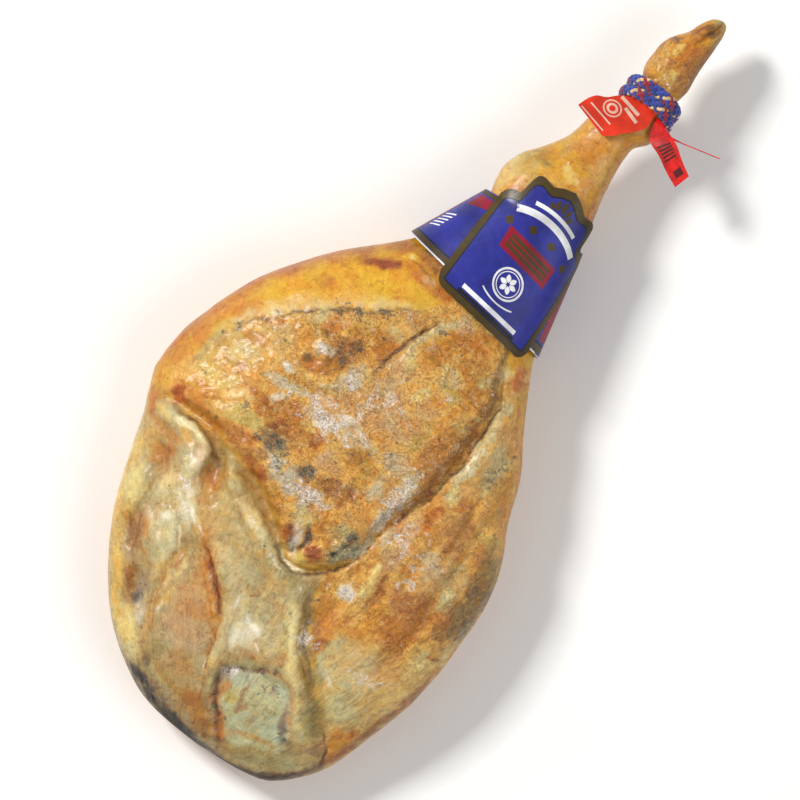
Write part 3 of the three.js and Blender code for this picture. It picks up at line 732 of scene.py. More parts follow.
MUSCLE_SPOTS = [
    ((95, 178), (6, 12), (194, 108, 50), 0.9, 10), ((80, 168), (5, 18), CREAM, 0.9, -30),
    # (98, 148), (102, 128), (102, 92) and (106, 66): painted highlight on the ridge right of the flap's edge,
    # which faces the light
    ((98, 148), (5, 10), CREAM, 0.9, -20), ((112, 158), (7, 18), GOLD, 0.95, 26),
    ((102, 128), (5, 18), PEARL, 0.9), ((102, 92), (6, 28), PEARL, 1.0, -2),
    ((106, 66), (6, 12), PALE, 0.6, -4), ((114, 118), (8, 14), (216, 176, 112), 0.7),
    ((122, 104), (12, 20), CREAM, 0.8, 20), ((140, 84), (10, 20), OCHRE, 0.6, 24),
    ((142, 92), (4, 20), GOLD, 0.8, 26), ((118, 62), (9, 9), ORANGE, 0.7), ((99, 38), (6, 13), ORANGE, 0.9),
    ((110, 26), (6, 18), OCHRE, 0.6), ((126, 40), (9, 20), BROWN, 0.6), ((88, 14), (8, 18), PINK, 0.8),
    ((78, 4), (4, 10), GREY, 0.8), ((90, -8), (10, 10), SALMON, 0.8), ((122, 4), (8, 12), GREY, 0.6),
    ((134, 4), (5, 18), PINK, 0.6), ((108, -8), (5, 18), OCHRE, 0.7), ((77, -54), (9, 8), WHITE, 0.9),
    ((71, -36), (4, 9), (170, 118, 46), 0.95), ((87, -36), (4, 16), PALE, 0.9, 4),
    ((97, -42), (4, 18), BROWN, 0.8, 4), ((106, -58), (7, 16), GOLD, 0.8, -4),
    ((118, -34), (9, 10), RED_BROWN, 0.5), ((130, -56), (16, 26), ORANGE, 0.75),
    ((136, -30), (14, 12), BROWN, 0.5), ((74, -86), (11, 15), (192, 136, 72), 0.8),
    ((66, -72), (6, 8), (182, 136, 84), 0.8), ((82, -104), (5, 6), RED_BROWN, 0.7),
    ((64, -78), (8, 12), OCHRE, 0.8, -20), ((70, -106), (3.6, 13), (214, 206, 196), 0.95, 36),
    ((80, -116), (4, 5), PINK, 0.8), ((58, -58), (6, 8), OCHRE, 0.7), ((92, -80), (9, 9), ORANGE, 0.5),
    ((94, -108), (9, 20), GREEN_GREY, 0.85, 6), ((120, -104), (24, 16), PINK, 0.5),
    ((118, -110), (22, 20), CREAM, 0.6), ((142, -92), (12, 12), TAN, 0.7),
    ((162, -92), (10, 34), (216, 188, 126), 0.9, -4), ((160, -70), (5, 14), PALE, 0.8, -4),
    ((176, -82), (3, 22), ORANGE, 0.5, -4), ((148, 4), (9, 22), GREEN_GREY, 0.7),
    ((154, 34), (8, 16), BROWN, 0.6), ((166, 22), (9, 22), DULL_OLIVE, 0.85),
    ((166, 4), (6, 8), DARK, 0.75), ((162, -26), (12, 22), BROWN, 0.75),
    # (178, 0): slate painted shade on the right rim
    ((170, -16), (6, 26), DULL_OLIVE, 0.8), ((178, 0), (3.4, 44), SLATE, 0.8),
    ((150, -14), (7, 10), GREEN_GREY, 0.7), ((152, 48), (12, 7), OLIVE, 0.6),
    ((176, -52), (4, 10), CREAM, 0.8), ((168, -60), (6, 1.4), BROWN, 0.8, 16),
    ((150, -60), (4, 16), OLIVE, 0.6), ((142, -162), (11, 13), (184, 126, 46), 0.95, 4),
    ((146, -166), (5, 8), GOLD, 0.7), ((126, -140), (14, 20), GREEN_GREY, 0.6),
    ((112, -134), (4, 16), PALE, 0.5, 22), ((130, -180), (7, 8), (168, 128, 92), 0.8),
    ((127, -187), (6, 3), (122, 100, 78), 0.5, 20), ((126, -174), (6, 4), GREY, 0.7, 10),
    ((112, -166), (7, 16), (158, 150, 98), 0.8, 36),
]
BUTT_SPOTS = [
    # (-120, -12), (-100, -13), (-92, -28) and (-96, -46): painted highlight along the crest of the fat fold
    ((-120, -12), (15, 4.5), (219, 208, 166), 1.0, -2), ((-100, -13), (9, 5), PEARL, 1.0, -14),
    ((-92, -28), (5, 12), (210, 188, 158), 0.9, 8), ((-96, -46), (6, 12), PEARL, 0.8, 10),
    ((-142, -13), (10, 4), (206, 184, 117), 0.9, -14), ((-154, -14), (5, 12), (177, 114, 49), 0.85, 22),
    # (-130, -25): painted shadow under the fold
    ((-130, -25), (18, 5), (169, 125, 59), 0.8, -12), ((-110, -22), (7, 5), (201, 180, 126), 0.7),
    ((-122, -46), (11, 14), (160, 110, 48), 0.9, -10), ((-119, -45), (5, 8), (134, 82, 34), 0.7),
    ((-124, -66), (9, 13), (154, 145, 104), 0.8, -16), ((-104, -62), (8, 16), PEARL, 0.8, -10),
    # (-74, -76): a painted highlight streak
    ((-84, -66), (16, 18), PEARL, 0.8, 40), ((-74, -76), (14, 5), (216, 210, 191), 0.7, -52),
    # (-73, -40), (-74, -38) and (-70, -54): brown painted shade in the V-groove
    ((-84, -48), (7, 8), (192, 171, 140), 0.7), ((-73, -40), (9, 16), (178, 126, 56), 0.9, 34),
    ((-74, -38), (4, 10), (152, 92, 34), 0.6, 30), ((-70, -54), (6, 8), (177, 134, 68), 0.8, 30),
    ((-64, -24), (12, 5), (182, 169, 112), 0.95, -30), ((-44, -28), (16, 5), (177, 156, 99), 0.8, -30),
    ((-98, -92), (9, 10), (204, 190, 160), 0.7, -20), ((-84, -98), (12, 18), (193, 188, 151), 0.8, 20),
    ((-76, -108), (8, 18), (206, 198, 156), 0.8, 10), ((-104, -106), (5, 12), (154, 121, 88), 0.8, 10),
    ((-98, -106), (3, 11), (188, 136, 62), 0.8, 12), ((-92, -122), (8, 3), (176, 128, 62), 0.7, -40),
    # (-100, -120) and (-86, -144): brown painted shade in the valley
    ((-100, -120), (6, 10), (136, 94, 49), 0.9, 30), ((-86, -144), (5, 14), (160, 116, 62), 0.7, 24),
    ((-75, -146), (7, 10), (145, 123, 97), 0.8, 20), ((-72, -158), (7, 8), (112, 112, 108), 0.9, 20),
    ((-74, -158), (4, 4), (78, 77, 79), 0.5, 20), ((-62, -168), (6, 12), GREY, 0.8, 20),
    ((-70, -128), (5, 12), (192, 169, 115), 0.7, 14), ((-52, -50), (12, 16), (192, 169, 110), 0.7, 30),
    # (-26, -46), (-14, -54) and (6, -64): painted highlight along the fold below the flap
    ((-26, -46), (14, 7), (212, 195, 144), 1.0, -30), ((-14, -54), (8, 5), PEARL, 0.8, -30),
    ((6, -64), (12, 4), PALE, 0.8, -34), ((-2, -68), (4, 4), (192, 147, 72), 0.6),
    ((-20, -70), (14, 5), PEARL, 0.5, -40), ((-50, -76), (10, 12), (192, 175, 131), 0.7),
    ((30, -70), (20, 8), (141, 131, 83), 0.7, -8), ((48, -72), (6, 14), (130, 120, 76), 0.8),
    ((20, -88), (18, 8), (182, 169, 124), 0.6), ((-30, -88), (10, 8), PEARL, 0.7, -40),
    ((-12, -94), (6, 14), PEARL, 0.6, 24), ((4, -118), (10, 20), PEARL, 0.7, 6),
    # (24, -132): painted highlight on the wet fat
    ((24, -132), (16, 14), (216, 208, 182), 0.8), ((44, -120), (8, 16), (192, 177, 133), 0.6, 20),
    ((38, -100), (8, 10), (184, 169, 122), 0.5), ((36, -96), (4, 3), SALMON, 0.5),
    ((10, -156), (6, 20), PEARL, 0.8, 12), ((-28, -118), (16, 10), (190, 142, 82), 0.8, -44),
    ((-30, -138), (22, 20), (186, 146, 98), 0.9), ((-20, -160), (22, 16), (186, 156, 118), 0.9),
    ((-34, -158), (12, 8), (186, 142, 98), 0.4), ((-10, -186), (20, 10), (173, 147, 101), 0.9),
    ((-34, -188), (8, 12), (149, 134, 86), 0.7), ((-56, -118), (4, 16), (208, 190, 142), 0.9, -4),
    ((-52, -150), (3, 20), (201, 171, 104), 0.8, -10), ((-10, -132), (4, 7), (192, 138, 59), 0.9, 40),
    ((16, -180), (5, 18), (188, 166, 113), 0.6, 14), ((18, -206), (14, 9), (154, 109, 52), 0.9, -10),
    ((36, -220), (14, 8), (132, 85, 43), 0.7, -16), ((-10, -202), (20, 5), (164, 136, 76), 0.7, -12),
    ((-34, -202), (5, 5), (104, 96, 74), 0.8, -30), ((-128, -80), (9, 22), (216, 196, 128), 0.8, 26),
    ((-118, -114), (5, 22), (201, 162, 83), 0.6, 24), ((-66, -186), (32, 9), (222, 206, 142), 0.9, -38),
    ((-48, -202), (12, 5), (218, 204, 146), 0.8, -30), ((-98, -150), (6, 26), (220, 182, 92), 0.9, 32),
    ((-116, -104), (5, 12), (214, 178, 96), 0.7, 24), ((-143, -52), (5, 16), (210, 170, 84), 0.7, 14),
    ((-136, -38), (8, 14), (186, 150, 80), 0.7, 10), ((-112, -20), (5, 10), (196, 150, 74), 0.6, 50),
    ((-62, -70), (10, 8), (188, 156, 92), 0.6, 30), ((-40, -66), (10, 6), (196, 160, 92), 0.5, 30),
    ((-70, -90), (4, 12), (178, 148, 92), 0.6, 10), ((-96, -76), (8, 4), (188, 166, 112), 0.6, -20),
    ((10, -76), (14, 4), (190, 158, 92), 0.5, -30), ((-20, -58), (6, 4), (198, 156, 80), 0.6, -30),
    ((54, -124), (6, 14), (188, 158, 100), 0.5, 30), ((60, -134), (8, 6), (182, 138, 84), 0.6, 30),
    ((40, -146), (14, 4), (188, 150, 100), 0.5, 16), ((6, -100), (8, 5), (176, 148, 94), 0.4),
    # the last five spots: white painted glints on the fat
    ((-88, -86), (5, 5), (232, 226, 210), 0.7), ((-70, -72), (10, 2.4), (232, 228, 214), 0.8, -46),
    ((-84, -58), (10, 2.4), (230, 224, 206), 0.7, -50), ((28, -124), (10, 3), (236, 230, 210), 0.8, -30),
    ((16, -140), (4, 10), (234, 228, 206), 0.7, 10),
]
BONE_SPOTS = [
    ((31, -167), (8, 7), (184, 186, 173), 0.95), ((46, -162), (10, 5), (177, 180, 156), 0.8, 20),
    ((70, -154), (12, 8), (173, 182, 154), 0.9), ((73, -158), (4, 4), (137, 130, 125), 0.6),
    ((70, -180), (16, 14), (171, 175, 140), 0.6), ((88, -162), (5, 12), (184, 177, 149), 0.6, 30),
    ((33, -180), (5, 6), (184, 137, 78), 0.8, 20), ((44, -184), (7, 7), (179, 165, 97), 0.8),
    ((52, -176), (2.4, 12), (141, 105, 71), 0.7, 10), ((56, -186), (2.4, 8), (147, 113, 78), 0.6, -14),
    ((30, -192), (4, 8), (167, 105, 58), 0.7, 20), ((92, -174), (3, 12), (120, 96, 89), 0.6, 26),
    ((98, -184), (3, 8), (109, 85, 78), 0.6, 30), ((104, -192), (6, 5), (105, 117, 108), 0.6),
    ((68, -190), (3, 7), (150, 124, 93), 0.4, 10), ((80, -204), (20, 3), (179, 149, 93), 0.8, 8),
    ((96, -214), (24, 8), (156, 150, 100), 0.8, 16), ((66, -222), (20, 5), (141, 128, 80), 0.6),
    ((52, -214), (4, 10), (150, 94, 54), 0.7, 30), ((112, -196), (10, 8), (147, 139, 99), 0.7),
]
SHANK_SPOTS = [
    ((-10, 326), (8, 22), CREAM, 0.8), ((4, 346), (14, 9), DULL_OLIVE, 0.5, 40),
    ((-2, 336), (10, 12), OLIVE, 0.6), ((30, 352), (22, 9), GOLD, 0.5, -10),
    ((34, 348), (10, 4), PALE, 0.7, -20), ((40, 374), (14, 12), OCHRE, 0.8),
    ((10, 312), (14, 8), ORANGE, 0.85, 20), ((30, 330), (16, 10), (224, 180, 100), 0.7),
    # (72, 310), (66, 350) and (62, 384): painted shade along the shank's right side, which faces away from the
    # light
    ((72, 310), (8, 30), BROWN, 0.8, 8), ((66, 350), (6, 20), OCHRE, 0.8, 10),
    ((62, 384), (6, 22), OCHRE, 0.7, 6), ((40, 392), (16, 6), TAN, 0.6), ((52, 362), (8, 20), TAN, 0.7),
    ((20, 366), (6, 12), (180, 140, 76), 0.6, -30),
]
FOOT_SPOTS = [
    ((48, 456), (10, 5), BROWN, 0.7), ((60, 462), (12, 5), TAN, 0.8), ((58, 468), (8, 4), PALE, 0.7, 10),
    ((40, 476), (6, 12), TAN, 0.7), ((36, 488), (4, 12), OCHRE, 0.8), ((58, 482), (10, 12), ORANGE, 0.5),
    ((70, 480), (7, 20), BROWN, 0.7), ((62, 500), (8, 8), ORANGE, 0.6), ((44, 496), (6, 4), BROWN, 0.7),
    ((52, 490), (3, 8), (212, 180, 104), 0.9, -14), ((73, 513), (2.4, 7), (196, 176, 100), 0.9, 4),
    ((56, 510), (7, 8), OCHRE, 0.8), ((64, 520), (5, 6), DARK, 0.6), ((66, 470), (3, 3), RED_BROWN, 0.7),
    ((52, 474), (3, 4), RED_BROWN, 0.5), ((76, 500), (4, 16), BROWN, 0.6),
]
# Strokes: path, width, colour, strength, and perhaps how ragged they are.
RIND_STROKES = [
    ([(-170, 10), (-163, 70), (-136, 132), (-94, 184), (-54, 222)], 7, (166, 104, 36), 0.85),
    (shifted(RIND_LINE[3:9], -4, 3), 5, (206, 186, 144), 0.7, 0.6),
]
RIM_STROKES = [
    # the first two: the fat's pale yellow with a painted highlight along the lit left rim; the next four:
    # painted shade along the bottom and lower right rims, which turn away from the light
    ([(-169, -8), (-157, -40), (-147, -72), (-125, -118)], 5.5, (224, 198, 124), 0.9),
    ([(-136, -100), (-112, -140), (-84, -172), (-66, -190)], 4, (204, 166, 86), 0.7),
    ([(-52, -206), (-34, -212), (-14, -220), (8, -227), (34, -231)], 9, (128, 98, 56), 0.7, 0.8),
    ([(-46, -210), (-32, -216), (-12, -224), (8, -230), (34, -234), (64, -236)], 4, (36, 27, 18), 1.0, 0.8),
    ([(54, -235), (84, -235), (102, -230), (122, -216), (140, -192)], 3.5, (54, 38, 24), 0.95),
    ([(136, -198), (149, -169), (161, -138), (170, -108), (178, -80)], 3.5, (134, 88, 42), 0.85),
    ([(106, 184), (134, 136), (154, 92), (168, 50)], 3.5, (196, 140, 60), 0.9),
]
TENDON_STROKES = [
    ([(28, 198), (16, 180), (7, 160), (2, 140)], 4, (214, 198, 152), 0.9),
    # painted shade in the valley beside the tendon
    (VALLEY, 6, (138, 124, 72), 0.85),
    (TENDON, 4.5, (220, 206, 148), 0.9, 0.15),
]
MUSCLE_STROKES = [
    ([(66, -143), (58, -147), (46, -156), (34, -161)], 1.2, (112, 88, 76), 0.9, 0.8),
    (shifted(BONE_LINE[7:], 2.5, 0), 3.4, (176, 110, 58), 0.7, 0.5),
    (BONE_LINE[7:], 1.9, (88, 60, 48), 0.95, 0.5),
    (BONE_LINE[:5], 2.0, (188, 152, 104), 0.8, 0.5),
    ([(51, -66), (56, -84), (66, -104), (80, -122), (92, -138)], 1.6, (104, 90, 56), 0.8, 0.5),
    ([(124, -166), (137, -177), (140, -194)], 1.4, (100, 72, 52), 0.9),
    ([(-58, -76), (-44, -92), (-28, -110), (-10, -126), (-2, -140)], 8, (190, 140, 70), 0.75),
    ([(-56, -80), (-42, -96), (-26, -112), (-12, -126)], 4, (176, 112, 44), 0.7),
    # painted shade in the haunch crease
    ([(-48, -88), (-39, -95), (-25, -107), (-10, -121), (-3, -131)], 1.8, (118, 64, 30), 0.95),
    ([(-4, -128), (0, -142), (5, -162), (20, -200)], 4, (184, 142, 84), 0.6, 0.7),
    ([(-2, -132), (1, -146), (7, -166), (24, -206)], 1.4, (140, 98, 50), 0.6, 0.9),
    ([(-60, -98), (-64, -122), (-58, -150), (-48, -188)], 4.5, (184, 144, 78), 0.6, 0.7),
    ([(-58, -104), (-63, -126), (-54, -156), (-44, -190)], 1.6, (150, 106, 50), 0.5, 1.0),
    ([(-112, -50), (-117, -70), (-115, -90)], 1.3, (160, 118, 62), 0.6, 0.7),
    # brown painted shade in the valley
    ([(-113, -94), (-111, -108), (-102, -124), (-90, -136), (-84, -154),
      (-74, -172)], 5, (150, 112, 64), 0.7),
]
FLAP_STROKES = [
    (RIND_LINE[2:-1], 2.6, (170, 150, 104), 0.6, 0.9),
    (RIND_LINE[3:-1], 1.0, (104, 90, 66), 0.5, 1.6),
    # the next four strokes: painted shade under the flap's lower lip and under the edge of its tip
    ([(-138, -4), (-118, -6), (-100, -8), (-88, -13), (-80, -22), (-72, -32)], 1.8, (108, 78, 34), 0.95),
    ([(-100, -4), (-86, -8), (-76, -18), (-66, -30)], 4, (160, 122, 58), 0.7),
    ([(-72, -10), (-50, -20), (-28, -29), (-6, -44), (6, -55)], 5, (154, 114, 52), 0.85),
    ([(2, -54), (13, -62), (28, -64), (41, -59), (54, -47), (64, -33)], 1.6, (84, 70, 44), 0.9, 0.7),
    ([(8, -56), (16, -59.5), (26, -60), (36, -57)], 1.5, (228, 220, 196), 0.95, 0.6),
    ([(2, -30), (7, -38), (10, -50)], 1.3, (82, 58, 36), 0.9, 0.5),
    ([(8, -27), (13, -36), (15, -46), (19, -54)], 3.2, (216, 210, 198), 1.0, 0.3),
    ([(11, -32), (15, -40), (17, -50)], 0.9, (150, 144, 134), 0.9, 0.8),
    ([(18, -26), (22, -34), (22, -46)], 2.4, (60, 54, 48), 1.0, 0.6),
    ([(56, -9), (55, -18), (50, -27), (44, -37)], 2.4, (80, 78, 70), 0.8, 1.2),
    ([(61, -12), (60, -24), (54, -36)], 2.2, (186, 188, 158), 0.8, 0.9),
    ([(-66, 13), (-54, 12), (-40, 11)], 1.8, (92, 88, 78), 0.8, 1.2),
    ([(-56, 24), (-46, 20), (-38, 18)], 2.6, (104, 98, 82), 0.8, 1.2),
    # the next three strokes: painted shade along the flap's right edge and slope
    (shifted(FLAP_RIGHT[1:6], 2, 0), 1.3, (96, 68, 36), 0.8, 0.6),
    (shifted(FLAP_RIGHT[4:], 1.5, 0), 0.9, (112, 84, 52), 0.8, 0.9),
    ([(74, 192), (77, 172), (86, 154), (93, 142)], 4, (150, 112, 50), 0.7),
    (SLIT, 1.5, (98, 68, 34), 1.0, 0.1),
]
FOOT_STROKES = [
    ([(60, 512), (66, 516), (70, 522), (72, 530)], 2.2, (84, 60, 30), 0.9),
    ([(78, 462), (80, 492), (80, 526)], 4, (96, 64, 30), 0.85),
    ([(52, 512), (60, 520), (66, 526)], 2.2, (120, 84, 40), 0.8),
    ([(40, 499), (46, 497), (50, 501)], 1.8, (112, 74, 36), 0.9),
    ([(31, 456), (34, 480), (40, 498)], 2.4, (150, 104, 46), 0.7),
]
# Painted glints: thin white highlights on the oily fat, each from one end to the other.
PAINTED_GLINTS = [
    [(-99, -88), (-97, -96), (-94, -102)], [(-74, -86), (-69, -96), (-65, -106)],
    [(-88, -100), (-84, -108)], [(-54, -144), (-52, -152), (-50, -162)],
    [(-32, -104), (-27, -110), (-23, -114)], [(-14, -124), (-9, -130)],
    [(-104, -24), (-98, -32), (-95, -42)], [(-92, -60), (-86, -66), (-80, -72)],
    [(-38, -42), (-28, -47), (-18, -52)], [(2, -62), (10, -67), (20, -70)],
    [(14, -116), (20, -122), (29, -126)], [(32, -130), (40, -136), (46, -142)],
    [(-2, -104), (2, -112), (3, -120)], [(102, 118), (103, 104), (103, 88)],
    [(96, -118), (104, -126), (110, -136)], [(58, -96), (66, -110), (76, -124)],
    [(-66, -70), (-60, -78), (-54, -84)], [(6, -168), (9, -176), (14, -184)],
]
# Dark specks: place and size.
SPECKS = [
    (-137, 70, 2.2), (-128, 86, 3), (-108, 112, 3), (-62, 141, 3.4), (-50, 150, 4.4), (-45, 146, 2.4),
    (-28, 163, 3.6), (-24, 164, 2), (-131, 34, 2.2), (-20, 144, 2.2), (-52, 22, 4.4), (-46, 19, 4),
    (-60, 12, 2.6), (-50, 12, 2.4), (-34, 15, 2.8), (-14, 12, 4.4), (-7, 15, 4.4), (-4, 9, 3), (2, -9, 1.8),
    (5, -13, 1.8), (17, 174, 3.4), (21, 176, 2.4), (43, 168, 1.8), (45, 166, 1.4), (57, 171, 1.2),
    (48, 150, 2), (40, 75, 1.6), (42, 65, 1.8), (26, 54, 2.2), (82, 99, 1.6), (24, -38, 3), (53, -16, 3.8),
    (56, -12, 3), (46, -32, 3.6), (53, -26, 3), (40, -12, 1.4), (18, -26, 2), (42, -38, 2.4),
    (129, 110, 2.6), (125, 105, 2.2), (117, 98, 1.8), (122, 91, 1.6), (126, 85, 1.8), (128, 122, 1.8),
    (132, 123, 1.6), (121, 65, 3), (123, 60, 2), (152, 57, 1.4), (76, -52, 1.2), (28, -166, 2.2),
    (36, -160, 1.8), (22, -32, 4.5), (64, -143, 2.4), (54, -152, 2), (72, -157, 1.8), (103, -191, 2.4),
    (96, -186, 2), (36, -200, 3), (46, -209, 3), (28, -190, 2.4), (50, -204, 2), (46, -96, 1.8),
    (52, -104, 1.6), (54, -112, 1.6), (-101, -64, 1.4), (-5, -61, 1.6), (-88, 94, 1.2), (-43, 112, 2.4),
    (-38, 106, 2.6), (-31, 125, 2.2), (-36, 128, 1.6), (-85, 30, 3),
]
# Where there is dark crust, pale bloom, dark mould or oily wetness: place, size and amount. The dark crust
# also stands for painted shade on the flap's right slope at (76, 90), along its lower lip at (-104, 4) and
# (-54, -6), and in the V-groove at (-78, -40).
DARK_CRUST_AND_SHADE = [
    ((-44, 104), (26, 26), 0.62), ((-52, 40), (34, 18), 0.6), ((14, 12), (26, 16), 0.6),
    # (76, 90), (-104, 4) and (-54, -6): painted shade on the flap's right slope and under its lower lip
    ((76, 90), (18, 60), 0.62), ((-104, 4), (40, 12), 0.7), ((-54, -6), (26, 12), 0.6),
    ((124, -50), (34, 40), 0.5), ((40, 170), (36, 30), 0.5), ((26, 50), (30, 30), 0.48),
    ((-20, 140), (26, 26), 0.48), ((76, -90), (14, 20), 0.36), ((158, 10), (22, 50), 0.6),
    ((122, 44), (26, 34), 0.5), ((-112, 90), (34, 30), 0.45), ((-10, 216), (50, 16), 0.6),
    # (-78, -40): painted shade in the V-groove
    ((140, -166), (14, 22), 0.5), ((-124, -46), (14, 14), 0.55), ((-78, -40), (10, 22), 0.55),
    ((44, -212), (30, 20), 0.55),
]
PALE_BLOOM = [
    ((-20, 60), (66, 20), 0.62), ((-56, 107), (9, 8), 0.6), ((-22, 100), (12, 18), 0.6),
    ((66, 34), (18, 44), 0.56), ((0, -4), (30, 16), 0.66), ((76, -54), (14, 12), 0.66),
    ((90, 10), (26, 34), 0.46), ((10, 96), (40, 40), 0.44), ((70, -108), (14, 18), 0.55),
    ((-38, 4), (12, 12), 0.6), ((120, -104), (30, 24), 0.36), ((-90, -70), (26, 34), 0.44),
    ((46, 136), (24, 20), 0.4), ((112, 0), (30, 40), 0.38), ((30, -166), (14, 8), 0.6),
    ((-84, 130), (20, 10), 0.4),
]
DARK_MOULD = [
    ((-10, 12), (18, 12), 0.5), ((-50, 18), (22, 10), 0.48), ((54, -20), (12, 18), 0.52),
    ((48, -30), (12, 10), 0.5), ((-36, 6), (12, 14), 0.45), ((125, 104), (12, 24), 0.48),
    ((-56, 146), (24, 12), 0.48), ((-30, 162), (14, 10), 0.5), ((-118, 94), (30, 34), 0.3),
    ((50, 148), (14, 12), 0.36), ((-42, 112), (24, 20), 0.45), ((4, 20), (60, 50), 0.28),
    ((64, -70), (12, 30), 0.36), ((70, -160), (46, 26), 0.34), ((40, -206), (22, 22), 0.4),
    ((-10, -216), (40, 12), 0.42), ((-104, -114), (10, 20), 0.35), ((-74, -156), (10, 16), 0.4),
    ((170, 0), (12, 50), 0.3), ((60, 60), (50, 80), 0.22),
]
WET = [
    ((-112, -12), (32, 8), 0.9), ((-26, -48), (22, 12), 1.0), ((-84, -66), (36, 40), 0.8),
    ((14, -110), (46, 56), 0.8), ((102, 96), (8, 50), 0.8), ((88, -40), (10, 36), 0.6),
    ((-10, -128), (14, 14), 0.9), ((-56, -140), (8, 40), 0.9), ((-54, -6), (18, 6), 0.6),
    ((60, -136), (14, 30), 0.7), ((170, -60), (16, 50), 0.5), ((-146, -60), (14, 60), 0.5),
]
# The ground colours and the outlines of the paint's areas.
RIND_BASE = (203, 155, 26)
FLAP_BASE = (220, 170, 86)
RIGHT_BASE = (216, 166, 86)
RIGHT_EDGE = [(60, -84), (90, -122), (118, -150), (200, -150), (200, 40), (150, 130), (110, 210)]
BUTT_BASE = (172, 159, 116)
LOW_RIGHT_BASE = (192, 168, 110)
LOW_RIGHT = [(90, -88), (120, -84), (158, -66), (200, -60), (200, -220), (140, -210), (112, -160)]
BONE_BASE = (178, 184, 150)
BONE_FOOT = [(80, -212), (98, -206), (108, -198)]
SHANK_BASE = (194, 148, 42)
FOOT_BASE = (204, 150, 34)
TOE_BASE = (190, 164, 84)
BODY_RIND = (222, 164, 78)
SHANK_RIND = (206, 158, 84)


class Paint:
    """Colours over points in plan, laid on layer by layer, with borders that wander."""

    def __init__(self, p, base):
        self.x = p[..., 0] + 3.0 * fbm(p, 20, 2, 101.0) + 1.1 * fbm(p, 5, 2, 111.0)
        self.y = p[..., 1] + 3.0 * fbm(p, 20, 2, 151.0) + 1.1 * fbm(p, 5, 2, 161.0)
        self.ragged = fbm(p, 9, 4, 201.0)
        self.colour = np.broadcast_to(np.array(base, float), p.shape).copy()

    def lay(self, colour, share):
        """Lays a colour over what is there, as far as the share says."""
        share = np.clip(share, 0, 1)[..., None]
        self.colour = lerp(self.colour, np.array(colour, float), share)

    def area(self, outline, colour, soft=4.0):
        """An area within an outline."""
        share = inside(outline, self.x, self.y, soft)
        self.lay(colour, share)
        return share

    def spots(self, table, soft=False):
        """Spots with full middles, and with soft edges or else ragged ones."""
        edge, full = (0.1, 0.8) if soft else (0.34, 0.6)
        for at, size, colour, strength, *turn in table:
            share = oval(self.x, self.y, at, size, *turn)
            level = share + edge * self.ragged * ease(share, 0, 0.3)
            self.lay(colour, strength * ease(level, 0.1, full))

    def stroke(self, path, width, colour, strength=1.0, ragged=0.3):
        """A line with soft sides and ends."""
        d, _, share = nearest(path, self.x, self.y)
        share = np.exp(-((d / width) ** 2)) * taper(np.clip(share, 0.02, 0.98))
        self.lay(colour, strength * share * (1 + ragged * self.ragged))

    def strokes(self, table):
        """Lines from a table of paths with their widths, colours and strengths."""
        for values in table:
            self.stroke(*values)


def paint_body(p):
    """The colours of the body, its marks and its traits, for its points in plan."""
    paint = Paint(p, RIND_BASE)
    paint.spots(RIND_SPOTS, soft=True)
    paint.strokes(RIND_STROKES)
    flap = paint.area(FLAP + RIND_LINE, FLAP_BASE)
    right = paint.area(FLAP_RIGHT[1:] + RIGHT_EDGE, RIGHT_BASE)
    paint.area(BUTT, BUTT_BASE)
    paint.area(LOW_RIGHT, LOW_RIGHT_BASE, 14)
    paint.spots(FLAP_SPOTS + MUSCLE_SPOTS)
    paint.spots(BUTT_SPOTS, soft=True)
    paint.strokes(RIM_STROKES + TENDON_STROKES)
    paint.area(BONE_LINE + BONE_FOOT, BONE_BASE, 2.5)
    paint.spots(BONE_SPOTS, soft=True)
    paint.strokes(MUSCLE_STROKES)
    # painted glints: thin white highlights on the fat
    for path in PAINTED_GLINTS:
        paint.stroke(path, 1.1, WHITE, 0.6, 1.4)
    paint.strokes(FLAP_STROKES)
    return (paint.colour, *body_traits(paint, flap, right))


def cover(paint, spots):
    """Amounts over the plan, from spots: place, size and amount."""
    total = np.zeros(paint.x.shape)
    for at, size, amount in spots:
        total = np.maximum(total, amount * oval(paint.x, paint.y, at, size))
    return total


def body_traits(paint, flap, right):
    """Amounts from 0 to 1: dark crust with painted shade where its table marks it, bloom and mould side by
    side, and streaks, crust and wetness.
    """
    x, y = paint.x, paint.y
    dry = lerp(0.35, 1.0, ease(x + 0.5 * y, -100, -30))
    lean = np.clip(0.8 * flap * dry + 0.55 * right * ease(y + 0.3 * x, -60, -30), 0, 1)
    lean *= 1 - 0.7 * oval(x, y, (20, -44), (24, 20))
    # the crust amounts, with painted shade where the table marks it
    crust = np.maximum(cover(paint, DARK_CRUST_AND_SHADE), 0.3 * lean)
    bloom = np.maximum(cover(paint, PALE_BLOOM), 0.22 * lean)
    specks = cover(paint, [((a, b), (1.3 * size, 1.3 * size), 0.74) for a, b, size in SPECKS])
    mould = np.maximum(np.maximum(cover(paint, DARK_MOULD), specks), 0.16 * lean)
    streaks = np.clip(0.8 * right + 0.7 * ease(-y, -10, 60) * (1 - flap), 0, 1)
    return np.stack([crust, bloom, mould], -1), np.stack([streaks, lean, cover(paint, WET)], -1)


